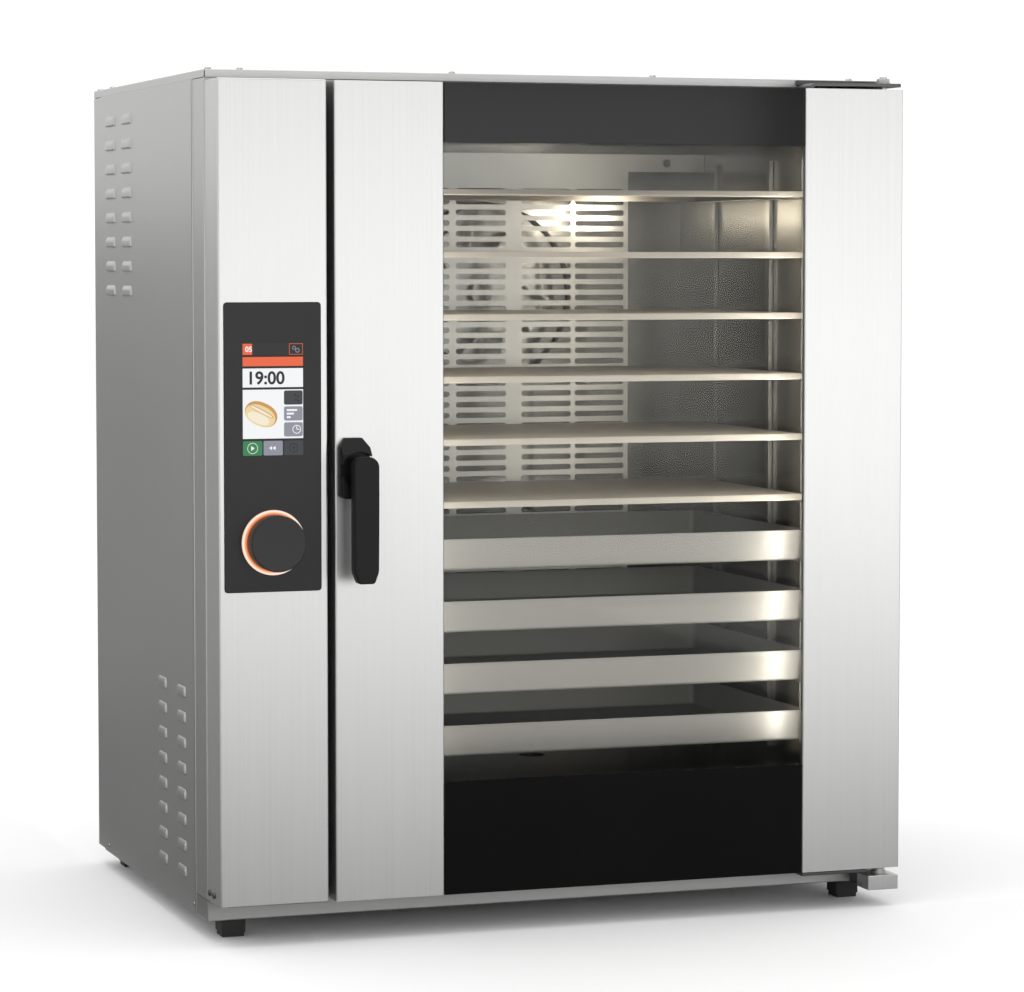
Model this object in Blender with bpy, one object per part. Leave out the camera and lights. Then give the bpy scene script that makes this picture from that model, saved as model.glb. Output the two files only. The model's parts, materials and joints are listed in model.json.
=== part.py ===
"""A ten-level combi steamer oven on feet, with a side-hinged glass door and a control column.

Lengths are in metres. Shapes are measured from the lower left corner of the body's front:
x to the right, y to the back, z up. BODY_CORNER moves them into the world, where the origin
lies under the middle of the whole oven, at the height of the feet's soles.
"""

import math

import bmesh
import bpy
from mathutils import Matrix, Vector

# Driving dimensions
BODY_WIDTH = 0.935
BODY_DEPTH = 0.630
BODY_HEIGHT = 1.077
FOOT_HEIGHT = 0.025
DOOR_REACH = 0.0635
HANDLE_REACH = 0.050
REAR_REACH = 0.030
LOUVRE_REACH = 0.004
SHEET = 0.0015
GAP = 0.0003
TRAY_LENGTH = 0.600
TRAY_WIDTH = 0.400
LEVELS = 10
FLAT_TRAYS = 6
LEVEL_PITCH = 0.0813
TOP_LEVEL = 0.922

BODY_CORNER = Vector((
    -(BODY_WIDTH - LOUVRE_REACH) / 2,
    -(BODY_DEPTH + REAR_REACH - DOOR_REACH - HANDLE_REACH) / 2,
    FOOT_HEIGHT,
))

# The body's shell
BASE_STRIP = 0.0267
LID_DEPTH = 0.010
SIDE_TOP = BODY_HEIGHT - LID_DEPTH - GAP
FRONT_RETURN = 0.0558
REAR_RETURN = 0.0468
SIDE_BACK = BODY_DEPTH - REAR_RETURN

# The cooking cavity
CAVITY_LEFT = 0.223
CAVITY_RIGHT = 0.863
CAVITY_FLOOR = 0.148
CAVITY_CEILING = 1.005
CAVITY_BACK = 0.545
CAVITY_CENTRE = (CAVITY_LEFT + CAVITY_RIGHT) / 2
INSULATION = 0.025
BAFFLE_FRONT = 0.452
FAN_HEIGHTS = {"upper": 0.790, "lower": 0.370}
FAN_RADIUS = 0.100
SHAFT_RADIUS = 0.006
HEATER_RADIUS = 0.128

# The control column
FASCIA_WIDTH = 0.142
FASCIA_BOTTOM = 0.027
FASCIA_TOP = 1.0635
GLASS_LOW = Vector((0.008, -0.065, 0.4238))
GLASS_HIGH = Vector((0.1334, -0.058, 0.7855))
KNOB_CENTRE = Vector((0.0705, 0.0, 0.4856))
KNOB_RADIUS = 0.0355
KNOB_FRONT = -DOOR_REACH - 0.029
KNOB_BACK = -0.0701
STEM_RADIUS = 0.003

# The door
DOOR_LEFT = 0.1515
DOOR_RIGHT = BODY_WIDTH
DOOR_BOTTOM = 0.0275
DOOR_TOP = 1.0625
DOOR_FRONT = -DOOR_REACH
DOOR_BACK = -0.008
BACK_PLATE = 0.003
PANE_LEFT = 0.296
PANE_RIGHT = 0.7935
HINGE = Vector((0.916, -0.040, 0.0))
PIN_RADIUS = 0.005
LATCH = Vector((0.1775, 0.0, 0.575))
SPINDLE_RADIUS = 0.006
SPINDLE_PLAY = 0.001
PIN_PLAY = 0.0006

# The exhaust
EXHAUST = Vector((0.690, 0.490, 0.0))
EXHAUST_RADIUS = 0.030
EXHAUST_TOP = BODY_HEIGHT + 0.024
DAMPER_HEIGHT = 1.045

ROUND_SIDES = 24
SMALL_SIDES = 12

materials = {}


def material(name, colour, metallic, roughness):
    if name not in materials:
        made = bpy.data.materials.new(name)
        made.use_nodes = True
        shader = made.node_tree.nodes["Principled BSDF"]
        shader.inputs["Base Color"].default_value = (*colour, 1)
        shader.inputs["Metallic"].default_value = metallic
        shader.inputs["Roughness"].default_value = roughness
        materials[name] = made
    return materials[name]


def steel():
    return material("brushed_steel", (0.62, 0.62, 0.61), 1.0, 0.32)


def dark_steel():
    return material("dark_steel", (0.12, 0.12, 0.12), 1.0, 0.40)


def black_plastic():
    return material("black_plastic", (0.012, 0.012, 0.012), 0.0, 0.45)


def black_glass():
    return material("black_glass", (0.015, 0.015, 0.016), 0.0, 0.08)


def clear_glass():
    return material("clear_glass", (0.75, 0.78, 0.77), 0.0, 0.03)


def black_rubber():
    return material("black_rubber", (0.02, 0.02, 0.02), 0.0, 0.75)


def wool():
    return material("mineral_wool", (0.55, 0.50, 0.33), 0.0, 0.95)


def brass():
    return material("brass", (0.68, 0.50, 0.24), 1.0, 0.30)


def lamp_cover():
    return material("lamp_cover", (1.0, 0.80, 0.55), 0.0, 0.35)


def ring_plastic():
    return material("ring_plastic", (1.0, 0.62, 0.45), 0.0, 0.30)


def board_green():
    return material("circuit_board", (0.03, 0.20, 0.08), 0.0, 0.55)


def add_box(bm, low, high):
    low, high = Vector(low), Vector(high)
    corners = bmesh.ops.create_cube(bm, size=1)["verts"]
    bmesh.ops.scale(bm, vec=high - low, verts=corners)
    bmesh.ops.translate(bm, vec=(low + high) / 2, verts=corners)


def along(axis, distance, first, second):
    """A point at a distance along an axis, with its other two coordinates in x, y, z order."""
    if axis == "X":
        return Vector((distance, first, second))
    if axis == "Y":
        return Vector((first, distance, second))
    return Vector((first, second, distance))


def add_prism(bm, outline, axis, start, end):
    """Extrudes a flat outline along one axis."""
    near = [bm.verts.new(along(axis, start, *point)) for point in outline]
    far = [bm.verts.new(along(axis, end, *point)) for point in outline]
    faces = [bm.faces.new(near), bm.faces.new(list(reversed(far)))]
    for i in range(len(outline)):
        j = (i + 1) % len(outline)
        faces.append(bm.faces.new((near[j], near[i], far[i], far[j])))
    bmesh.ops.recalc_face_normals(bm, faces=faces)


def add_turned(bm, profile, centre, axis, sides, hollow=False):
    """Turns (radius, distance) points about an axis. A hollow profile closes on itself."""
    rings = []
    for radius, distance in profile:
        ring = []
        for k in range(sides):
            angle = 2 * math.pi * (k + 0.5) / sides
            point = along(axis, distance, radius * math.cos(angle), radius * math.sin(angle))
            ring.append(bm.verts.new(point + centre))
        rings.append(ring)
    faces = []
    pairs = list(zip(rings, rings[1:]))
    if hollow:
        pairs.append((rings[-1], rings[0]))
    else:
        faces += [bm.faces.new(rings[0]), bm.faces.new(list(reversed(rings[-1])))]
    for ring, following in pairs:
        for k in range(sides):
            j = (k + 1) % sides
            faces.append(bm.faces.new((ring[k], ring[j], following[j], following[k])))
    bmesh.ops.recalc_face_normals(bm, faces=faces)


def add_rod(bm, centre, axis, start, end, radius, sides=SMALL_SIDES):
    add_turned(bm, [(radius, start), (radius, end)], centre, axis, sides)


def sweep_rings(bm, path, radius, sides):
    """Circles of one radius across a path, each in the plane that halves its bend."""
    points = [Vector(p) for p in path]
    ways = [(b - a).normalized() for a, b in zip(points, points[1:])]
    side = ways[0].orthogonal().normalized()
    rings = []
    for i, point in enumerate(points):
        before = ways[max(i - 1, 0)]
        after = ways[min(i, len(ways) - 1)]
        way = (before + after).normalized()
        side = (side - way * side.dot(way)).normalized()
        other = way.cross(side)
        stretch = 1 / max(way.dot(after), 0.5)
        bend = (after - before)
        bend = bend.normalized() if bend.length > 1e-6 else None
        ring = []
        for k in range(sides):
            angle = 2 * math.pi * k / sides
            spoke = (side * math.cos(angle) + other * math.sin(angle)) * radius
            if bend:
                spoke += bend * spoke.dot(bend) * (stretch - 1)
            ring.append(bm.verts.new(point + spoke))
        rings.append(ring)
    return rings


def add_pipe(bm, path, radius, sides, bore=0.0):
    """A rod swept along a path, or a tube where a bore's radius is given."""
    skins = [sweep_rings(bm, path, radius, sides)]
    if bore:
        skins.append(sweep_rings(bm, path, bore, sides))
    faces = []
    for rings in skins:
        for ring, following in zip(rings, rings[1:]):
            for k in range(sides):
                j = (k + 1) % sides
                faces.append(bm.faces.new((ring[k], ring[j], following[j], following[k])))
    for end in (0, -1):
        if bore:
            for k in range(sides):
                j = (k + 1) % sides
                outer, inner = skins[0][end], skins[1][end]
                faces.append(bm.faces.new((outer[k], outer[j], inner[j], inner[k])))
        else:
            faces.append(bm.faces.new(skins[0][end]))
    bmesh.ops.recalc_face_normals(bm, faces=faces)


def arc(centre, radius, start, end, steps):
    """Points of a flat arc, with its angles in degrees."""
    points = []
    for k in range(steps + 1):
        angle = math.radians(start + (end - start) * k / steps)
        points.append((centre[0] + radius * math.cos(angle), centre[1] + radius * math.sin(angle)))
    return points


def rounded_rectangle(low, high, radius, steps=3):
    (x0, z0), (x1, z1) = low, high
    outline = arc((x0 + radius, z0 + radius), radius, 180, 270, steps)
    outline += arc((x1 - radius, z0 + radius), radius, 270, 360, steps)
    outline += arc((x1 - radius, z1 - radius), radius, 0, 90, steps)
    outline += arc((x0 + radius, z1 - radius), radius, 90, 180, steps)
    return outline


def object_of(name, bm, origin):
    """An object holding the shapes in bm, with its origin at a point measured on the body."""
    bmesh.ops.translate(bm, vec=-origin, verts=bm.verts)
    mesh = bpy.data.meshes.new(name)
    bm.to_mesh(mesh)
    bm.free()
    made = bpy.data.objects.new(name, mesh)
    made.location = BODY_CORNER + origin
    bpy.context.scene.collection.objects.link(made)
    return made


def piece(name, bm, finish, origin=Vector((0, 0, 0)), joint=None, smooth=False):
    """One named piece of the oven. A moving piece hangs on the empty of its joint."""
    made = object_of(name, bm, origin)
    made.data.materials.append(finish)
    if smooth:
        made.data.shade_smooth()
        made.data.set_sharp_from_angle(angle=math.radians(35))
    if joint:
        bpy.context.view_layer.update()
        made.parent = joint
        made.location -= joint.matrix_world.translation
    return made


def combine(made, operation, bm):
    """Joins or cuts a piece with the shapes in bm, which stay in a hidden helper."""
    step = len(made.modifiers) + 1
    helper = object_of(f"{made.name}_{operation.lower()}_{step}", bm, Vector((0, 0, 0)))
    helper.hide_render = True
    helper.display_type = "WIRE"
    modifier = made.modifiers.new(operation.title(), "BOOLEAN")
    modifier.object = helper
    modifier.operation = operation
    modifier.use_self = operation == "UNION"


def joint_empty(name, place, parent=None):
    """An empty on a joint's axis. A joint carried by another hangs on that one's empty."""
    made = bpy.data.objects.new(name, None)
    made.empty_display_size = 0.05
    made.location = BODY_CORNER + place
    bpy.context.scene.collection.objects.link(made)
    if parent:
        made.parent = parent
        made.location -= parent.location
    return made


def clear_scene():
    for old in list(bpy.data.objects):
        bpy.data.objects.remove(old, do_unlink=True)


# The body's shell


def make_base_tray():
    inset = SHEET + GAP
    back = BODY_DEPTH - inset
    outline = [
        (0, 0), (BODY_WIDTH, 0), (BODY_WIDTH, FRONT_RETURN), (BODY_WIDTH - inset, FRONT_RETURN),
        (BODY_WIDTH - inset, back), (inset, back), (inset, FRONT_RETURN), (0, FRONT_RETURN),
    ]
    bm = bmesh.new()
    add_prism(bm, outline, "Z", 0, BASE_STRIP)
    tray = piece("base_tray", bm, steel())
    hollow = bmesh.new()
    wall = inset + SHEET
    add_box(hollow, (wall, SHEET, SHEET), (BODY_WIDTH - wall, back - SHEET, 2 * BASE_STRIP))
    combine(tray, "DIFFERENCE", hollow)


def make_front_frame():
    right = BODY_WIDTH
    outline = [
        (0, 0), (right, 0), (right, FRONT_RETURN), (right - SHEET, FRONT_RETURN),
        (right - SHEET, SHEET), (SHEET, SHEET), (SHEET, FRONT_RETURN), (0, FRONT_RETURN),
    ]
    bm = bmesh.new()
    add_prism(bm, outline, "Z", BASE_STRIP + GAP, SIDE_TOP)
    frame = piece("front_frame", bm, steel())
    openings = bmesh.new()
    mouth_low = (CAVITY_LEFT, -SHEET, CAVITY_FLOOR)
    add_box(openings, mouth_low, (CAVITY_RIGHT, 2 * SHEET, CAVITY_CEILING))
    cable_low = (0.040, -SHEET, 0.560)
    add_box(openings, cable_low, (0.100, 2 * SHEET, 0.760))
    combine(frame, "DIFFERENCE", openings)


def add_hood(bm, centre, top, width, height):
    """One pressed louvre hood, a bent strip that leans out of the panel."""
    skin = 0.0010
    outline = [
        (SHEET / 2, top), (-LOUVRE_REACH, top - height),
        (-LOUVRE_REACH + skin, top - height), (SHEET / 2, top - 3 * skin),
    ]
    add_prism(bm, outline, "Y", centre - width / 2, centre + width / 2)


def louvre_places():
    """(y, top z, width) of each louvre: one group high at the back, one low at the front."""
    pitch = 0.0335
    rows = 8
    groups = (
        ((0.423, 0.521), 1.037, 0.056),
        ((0.126, 0.2296), 0.287, 0.045),
    )
    return [
        (y, highest - row * pitch, width)
        for columns, highest, width in groups
        for y in columns
        for row in range(rows)
    ]


def make_side_panels():
    front = FRONT_RETURN + GAP
    back = SIDE_BACK - GAP
    bm = bmesh.new()
    add_box(bm, (0, front, 0), (SHEET, back, SIDE_TOP))
    left = piece("left_side_panel", bm, steel())
    hood_height = 0.013
    slot_inset, slot_rise, slot_drop = 0.003, 0.001, 0.005
    slots = bmesh.new()
    hoods = bmesh.new()
    for y, top, width in louvre_places():
        add_hood(hoods, y, top, width, hood_height)
        slot_half = width / 2 - slot_inset
        slot_low = (-SHEET, y - slot_half, top - hood_height + slot_rise)
        add_box(slots, slot_low, (2 * SHEET, y + slot_half, top - slot_drop))
    combine(left, "DIFFERENCE", slots)
    combine(left, "UNION", hoods)
    bm = bmesh.new()
    add_box(bm, (BODY_WIDTH - SHEET, front, 0), (BODY_WIDTH, back, SIDE_TOP))
    piece("right_side_panel", bm, steel())


# Where the services leave through the rear cover
DRAIN = Vector((CAVITY_CENTRE, 0.300, 0.072))
DRAIN_RADIUS = 0.020
WATER = Vector((0.100, 0.0, 0.120))
WATER_RADIUS = 0.011
GLAND = Vector((0.100, 0.0, 0.240))
GLAND_RADIUS = 0.012
SERVICE_CLEARANCE = 0.001


def make_rear_cover():
    front = SIDE_BACK
    back = BODY_DEPTH
    right = BODY_WIDTH
    outline = [
        (0, front), (SHEET, front), (SHEET, back - SHEET), (right - SHEET, back - SHEET),
        (right - SHEET, front), (right, front), (right, back), (0, back),
    ]
    bm = bmesh.new()
    add_prism(bm, outline, "Z", 0, SIDE_TOP)
    cover = piece("rear_cover", bm, steel())
    holes = bmesh.new()
    start, end = back - 3 * SHEET, back + SHEET
    drain_hole = Vector((DRAIN.x, 0, DRAIN.z))
    add_rod(holes, drain_hole, "Y", start, end, DRAIN_RADIUS + SERVICE_CLEARANCE, ROUND_SIDES)
    add_rod(holes, WATER, "Y", start, end, WATER_RADIUS + SERVICE_CLEARANCE)
    add_rod(holes, GLAND, "Y", start, end, GLAND_RADIUS + SERVICE_CLEARANCE)
    slot_width, slot_height, slot_pitch = 0.120, 0.006, 0.020
    lowest_slot, slot_rows = 0.900, 6
    for column in (0.330, 0.605):
        left = column - slot_width / 2
        for row in range(slot_rows):
            z = lowest_slot + row * slot_pitch
            add_box(holes, (left, start, z), (left + slot_width, end, z + slot_height))
    combine(cover, "DIFFERENCE", holes)


def make_top_cover():
    bm = bmesh.new()
    add_box(bm, (0, 0, BODY_HEIGHT - LID_DEPTH), (BODY_WIDTH, BODY_DEPTH, BODY_HEIGHT))
    cover = piece("top_cover", bm, steel())
    cuts = bmesh.new()
    add_box(
        cuts,
        (SHEET, SHEET, BODY_HEIGHT - 2 * LID_DEPTH),
        (BODY_WIDTH - SHEET, BODY_DEPTH - SHEET, BODY_HEIGHT - SHEET),
    )
    combine(cover, "DIFFERENCE", cuts)
    hole = bmesh.new()
    start, end = BODY_HEIGHT - LID_DEPTH, BODY_HEIGHT + SHEET
    add_rod(hole, EXHAUST, "Z", start, end, EXHAUST_RADIUS + SERVICE_CLEARANCE, ROUND_SIDES)
    combine(cover, "DIFFERENCE", hole)


def add_square_block(bm, centre, half, sections):
    """A block of square cross-sections, each given as (height, inset from the full size)."""
    corners = ((-1, -1), (1, -1), (1, 1), (-1, 1))
    rings = [
        [
            bm.verts.new((centre[0] + sx * (half - inset), centre[1] + sy * (half - inset), z))
            for sx, sy in corners
        ]
        for z, inset in sections
    ]
    faces = [bm.faces.new(rings[0]), bm.faces.new(rings[-1])]
    for ring, following in zip(rings, rings[1:]):
        for k in range(4):
            j = (k + 1) % 4
            faces.append(bm.faces.new((ring[k], ring[j], following[j], following[k])))
    bmesh.ops.recalc_face_normals(bm, faces=faces)


def make_feet():
    half = 0.016
    inset_side = 0.0385
    inset_front = 0.033
    inset_back = 0.045
    chamfer = 0.003
    sections = (
        (-FOOT_HEIGHT, chamfer),
        (-FOOT_HEIGHT + chamfer, 0),
        (-GAP, 0),
    )
    places = {
        "foot_front_left": (inset_side, inset_front),
        "foot_front_right": (BODY_WIDTH - inset_side, inset_front),
        "foot_rear_left": (inset_side, BODY_DEPTH - inset_back),
        "foot_rear_right": (BODY_WIDTH - inset_side, BODY_DEPTH - inset_back),
    }
    for name, (x, y) in places.items():
        bm = bmesh.new()
        add_square_block(bm, (x, y), half, sections)
        piece(name, bm, black_rubber())


# The control column


GLASS_CORNER = 0.004


def make_control_fascia():
    bm = bmesh.new()
    add_box(bm, (0, -DOOR_REACH, FASCIA_BOTTOM), (FASCIA_WIDTH, -GAP, FASCIA_TOP))
    fascia = piece("control_fascia", bm, steel())
    cuts = bmesh.new()
    add_box(
        cuts,
        (SHEET, -DOOR_REACH + SHEET, FASCIA_BOTTOM + SHEET),
        (FASCIA_WIDTH - SHEET, SHEET, FASCIA_TOP - SHEET),
    )
    combine(fascia, "DIFFERENCE", cuts)
    window = bmesh.new()
    outline = rounded_rectangle(
        (GLASS_LOW.x - GAP, GLASS_LOW.z - GAP),
        (GLASS_HIGH.x + GAP, GLASS_HIGH.z + GAP),
        GLASS_CORNER + GAP,
    )
    add_prism(window, outline, "Y", -DOOR_REACH - SHEET, -DOOR_REACH + 2 * SHEET)
    combine(fascia, "DIFFERENCE", window)


def make_control_glass():
    bm = bmesh.new()
    low, high = (GLASS_LOW.x, GLASS_LOW.z), (GLASS_HIGH.x, GLASS_HIGH.z)
    outline = rounded_rectangle(low, high, GLASS_CORNER)
    add_prism(bm, outline, "Y", GLASS_LOW.y, GLASS_HIGH.y)
    glass = piece("control_glass", bm, black_glass())
    hole = bmesh.new()
    add_rod(hole, KNOB_CENTRE, "Y", GLASS_LOW.y - SHEET, GLASS_HIGH.y + SHEET, STEM_RADIUS + 0.001)
    combine(glass, "DIFFERENCE", hole)


def make_display_module():
    margin = 0.0068
    screen_low, screen_high = (0.0313, 0.592), (0.1128, 0.738)
    depth = 0.016
    front = GLASS_HIGH.y + GAP
    bm = bmesh.new()
    add_box(
        bm,
        (screen_low[0] - margin, front, screen_low[1] - margin),
        (screen_high[0] + margin, front + depth, screen_high[1] + margin),
    )
    piece("display_module", bm, black_plastic())


def make_control_board():
    thickness = 0.002
    left, front, bottom = 0.012, 0.120, 0.420
    depth, height = 0.240, 0.300
    bm = bmesh.new()
    add_box(bm, (left, front, bottom), (left + thickness, front + depth, bottom + height))
    board = piece("control_board", bm, board_green())
    parts = bmesh.new()
    foot = left + thickness / 2
    relay_size, relay_height = 0.028, 0.022
    first_relay, column_pitch, row_pitch = (0.020, 0.030), 0.052, 0.060
    for column in range(4):
        for row in range(2):
            y = front + first_relay[0] + column * column_pitch
            z = bottom + first_relay[1] + row * row_pitch
            relay_high = (left + relay_height, y + relay_size, z + relay_size)
            add_box(parts, (foot, y, z), relay_high)
    core_low = Vector((foot, front + 0.030, bottom + 0.180))
    core_size = Vector((0.044, 0.080, 0.070))
    add_box(parts, core_low, core_low + core_size)
    combine(board, "UNION", parts)


def make_glow_ring():
    inner, outer = 0.028, 0.041
    back = GLASS_LOW.y - GAP
    front = back - 0.003
    edge = 0.001
    profile = [
        (inner, back), (outer, back), (outer, front + edge), (outer - edge, front), (inner, front),
    ]
    bm = bmesh.new()
    add_turned(bm, profile, KNOB_CENTRE, "Y", 32, hollow=True)
    piece("glow_ring", bm, ring_plastic(), smooth=True)


def make_encoder():
    front = GLASS_HIGH.y + GAP
    half = 0.015
    depth, bore_depth = 0.018, 0.013
    bm = bmesh.new()
    add_box(
        bm,
        (KNOB_CENTRE.x - half, front, KNOB_CENTRE.z - half),
        (KNOB_CENTRE.x + half, front + depth, KNOB_CENTRE.z + half),
    )
    body = piece("encoder_body", bm, black_plastic())
    bore = bmesh.new()
    add_rod(bore, KNOB_CENTRE, "Y", front - SHEET, front + bore_depth, STEM_RADIUS + GAP)
    combine(body, "DIFFERENCE", bore)


def make_knob(press, turn):
    socket_end = KNOB_FRONT + 0.0075
    stem_front, stem_back = socket_end + 0.0005, GLASS_HIGH.y + 0.010
    stem = bmesh.new()
    add_rod(stem, KNOB_CENTRE, "Y", stem_front, stem_back, STEM_RADIUS)
    piece("encoder_shaft", stem, steel(), KNOB_CENTRE, press, smooth=True)
    edge = 0.0012
    bore = STEM_RADIUS + GAP
    profile = [
        (KNOB_RADIUS - edge, KNOB_BACK), (KNOB_RADIUS, KNOB_BACK - edge),
        (KNOB_RADIUS, KNOB_FRONT + edge), (KNOB_RADIUS - edge, KNOB_FRONT),
    ]
    bm = bmesh.new()
    add_turned(bm, profile, KNOB_CENTRE, "Y", 32)
    knob = piece("knob", bm, black_plastic(), KNOB_CENTRE, turn, smooth=True)
    socket = bmesh.new()
    add_rod(socket, KNOB_CENTRE, "Y", socket_end, KNOB_BACK + SHEET, bore)
    combine(knob, "DIFFERENCE", socket)


# The cooking cavity


def shaft_centres():
    return [Vector((CAVITY_CENTRE, 0, height)) for height in FAN_HEIGHTS.values()]


HEATER_LEGS = 0.020
HEATER_TUBE = 0.004
STEAM = Vector((CAVITY_CENTRE, 0, 0.585))
STEAM_RADIUS = 0.006


def wall_holes(clearance, neck, start, end):
    """The holes that fan shafts, heater legs and the steam pipe need in a rear wall."""
    bm = bmesh.new()
    for centre in shaft_centres():
        add_rod(bm, centre, "Y", start, end, neck + clearance, ROUND_SIDES)
        for side in (-HEATER_LEGS, HEATER_LEGS):
            leg = centre + Vector((side, 0, -HEATER_RADIUS))
            add_rod(bm, leg, "Y", start, end, HEATER_TUBE + clearance)
    add_rod(bm, STEAM, "Y", start, end, STEAM_RADIUS + clearance)
    return bm


def make_cavity_liner():
    low = Vector((CAVITY_LEFT, SHEET + GAP, CAVITY_FLOOR))
    high = Vector((CAVITY_RIGHT, CAVITY_BACK, CAVITY_CEILING))
    wall = Vector((SHEET, 0, SHEET))
    bm = bmesh.new()
    add_box(bm, low - wall, high + wall + Vector((0, SHEET, 0)))
    liner = piece("cavity_liner", bm, steel())
    inside = bmesh.new()
    add_box(inside, low - Vector((0, SHEET, 0)), high)
    combine(liner, "DIFFERENCE", inside)
    holes = wall_holes(SERVICE_CLEARANCE, SHAFT_RADIUS, CAVITY_BACK - SHEET, CAVITY_BACK + 3 * SHEET)
    vent_start, vent_end = CAVITY_CEILING - SHEET, CAVITY_CEILING + 3 * SHEET
    add_rod(holes, EXHAUST, "Z", vent_start, vent_end, EXHAUST_RADIUS - 0.002, ROUND_SIDES)
    floor_start, floor_end = CAVITY_FLOOR - 3 * SHEET, CAVITY_FLOOR + SHEET
    drain_hole = Vector((DRAIN.x, DRAIN.y, 0))
    drain_bore = DRAIN_RADIUS - 0.002
    add_rod(holes, drain_hole, "Z", floor_start, floor_end, drain_bore, ROUND_SIDES)
    combine(liner, "DIFFERENCE", holes)


MOTOR_NECK = 0.024


def make_insulation_jacket():
    step = SHEET + GAP
    front = 0.004
    low = Vector((CAVITY_LEFT, front, CAVITY_FLOOR)) - Vector((step, 0, step))
    high = Vector((CAVITY_RIGHT, CAVITY_BACK, CAVITY_CEILING)) + Vector((step, step, step))
    thick = Vector((INSULATION, 0, INSULATION))
    bm = bmesh.new()
    add_box(bm, low - thick, high + thick + Vector((0, INSULATION, 0)))
    jacket = piece("insulation_jacket", bm, wool())
    inside = bmesh.new()
    add_box(inside, low - Vector((0, front, 0)), high)
    combine(jacket, "DIFFERENCE", inside)
    past = INSULATION + 0.010
    holes = wall_holes(SERVICE_CLEARANCE, MOTOR_NECK, CAVITY_BACK - SHEET, CAVITY_BACK + past)
    up_start, up_end = CAVITY_CEILING - SHEET, CAVITY_CEILING + past
    add_rod(holes, EXHAUST, "Z", up_start, up_end, EXHAUST_RADIUS + SERVICE_CLEARANCE, ROUND_SIDES)
    down_start, down_end = CAVITY_FLOOR - past, CAVITY_FLOOR + SHEET
    drain_hole = Vector((DRAIN.x, DRAIN.y, 0))
    add_rod(holes, drain_hole, "Z", down_start, down_end, DRAIN_RADIUS + SERVICE_CLEARANCE, ROUND_SIDES)
    combine(jacket, "DIFFERENCE", holes)


def make_door_gasket():
    margin, width = 0.004, 0.012
    outer_corner, inner_corner = 0.020, 0.008
    inner_low = (CAVITY_LEFT - margin, CAVITY_FLOOR - margin)
    inner_high = (CAVITY_RIGHT + margin, CAVITY_CEILING + margin)
    outer_low = (inner_low[0] - width, inner_low[1] - width)
    outer_high = (inner_high[0] + width, inner_high[1] + width)
    front, back = DOOR_BACK + GAP, -GAP
    bm = bmesh.new()
    add_prism(bm, rounded_rectangle(outer_low, outer_high, outer_corner), "Y", front, back)
    gasket = piece("door_gasket", bm, black_rubber())
    hole = bmesh.new()
    mouth = rounded_rectangle(inner_low, inner_high, inner_corner)
    add_prism(hole, mouth, "Y", front - SHEET, back + SHEET)
    combine(gasket, "DIFFERENCE", hole)


def make_rear_baffle():
    """The plate in front of the fans, with air windows and ears that reach the side walls."""
    left, right = 0.356, 0.744
    bottom, top = 0.160, 0.990
    back = BAFFLE_FRONT + SHEET
    bm = bmesh.new()
    add_box(bm, (left, BAFFLE_FRONT, bottom), (right, back, top))
    baffle = piece("rear_baffle", bm, steel())
    windows = bmesh.new()
    window_width, window_height, window_drop = 0.073, 0.036, 0.043
    columns = (0.432, 0.514, 0.616, 0.697)
    for level in range(LEVELS):
        z = TOP_LEVEL - window_drop - level * LEVEL_PITCH
        for x in columns:
            window_low = (x - window_width / 2, BAFFLE_FRONT - SHEET, z)
            window_high = (x + window_width / 2, back + SHEET, z + window_height)
            add_box(windows, window_low, window_high)
    combine(baffle, "DIFFERENCE", windows)
    ears = bmesh.new()
    ear_height, wall_gap = 0.025, 0.0005
    for z in (bottom, top - ear_height):
        low = (CAVITY_LEFT + wall_gap, BAFFLE_FRONT, z)
        add_box(ears, low, (CAVITY_RIGHT - wall_gap, back, z + ear_height))
    combine(baffle, "UNION", ears)


def level_heights():
    """The underside of the tray on each level, from the top down."""
    return [TOP_LEVEL - level * LEVEL_PITCH for level in range(LEVELS)]


TRAY_FRONT = 0.032


def make_racks():
    post_depth, post_width = 0.006, 0.014
    post_fronts = (0.090, 0.200, 0.398)
    ledge_reach, ledge_front, ledge_back = 0.034, 0.028, 0.438
    bottom, top = CAVITY_FLOOR + 0.012, CAVITY_CEILING - 0.030
    wall_gap, ledge_inset = 0.0005, 0.002
    for name, wall, inward in (("rack_left", CAVITY_LEFT, 1), ("rack_right", CAVITY_RIGHT, -1)):
        near = wall + inward * wall_gap
        bm = bmesh.new()
        first = post_fronts[0]
        add_sided_box(bm, near, inward * post_depth, first, first + post_width, bottom, top)
        rack = piece(name, bm, steel())
        rails = bmesh.new()
        for front in post_fronts[1:]:
            add_sided_box(rails, near, inward * post_depth, front, front + post_width, bottom, top)
        for height in level_heights():
            shelf = near + inward * ledge_inset
            reach = inward * ledge_reach
            surface = height - GAP
            add_sided_box(rails, shelf, reach, ledge_front, ledge_back, surface - SHEET, surface)
        combine(rack, "UNION", rails)


def add_sided_box(bm, x, reach, front, back, bottom, top):
    """A box that reaches from x to the right, or to the left where reach is negative."""
    add_box(bm, (min(x, x + reach), front, bottom), (max(x, x + reach), back, top))


def rectangle_ring(bm, half_length, half_width, centre, z):
    corners = ((-1, -1), (1, -1), (1, 1), (-1, 1))
    return [
        bm.verts.new((centre[0] + sx * half_length, centre[1] + sy * half_width, z))
        for sx, sy in corners
    ]


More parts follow.
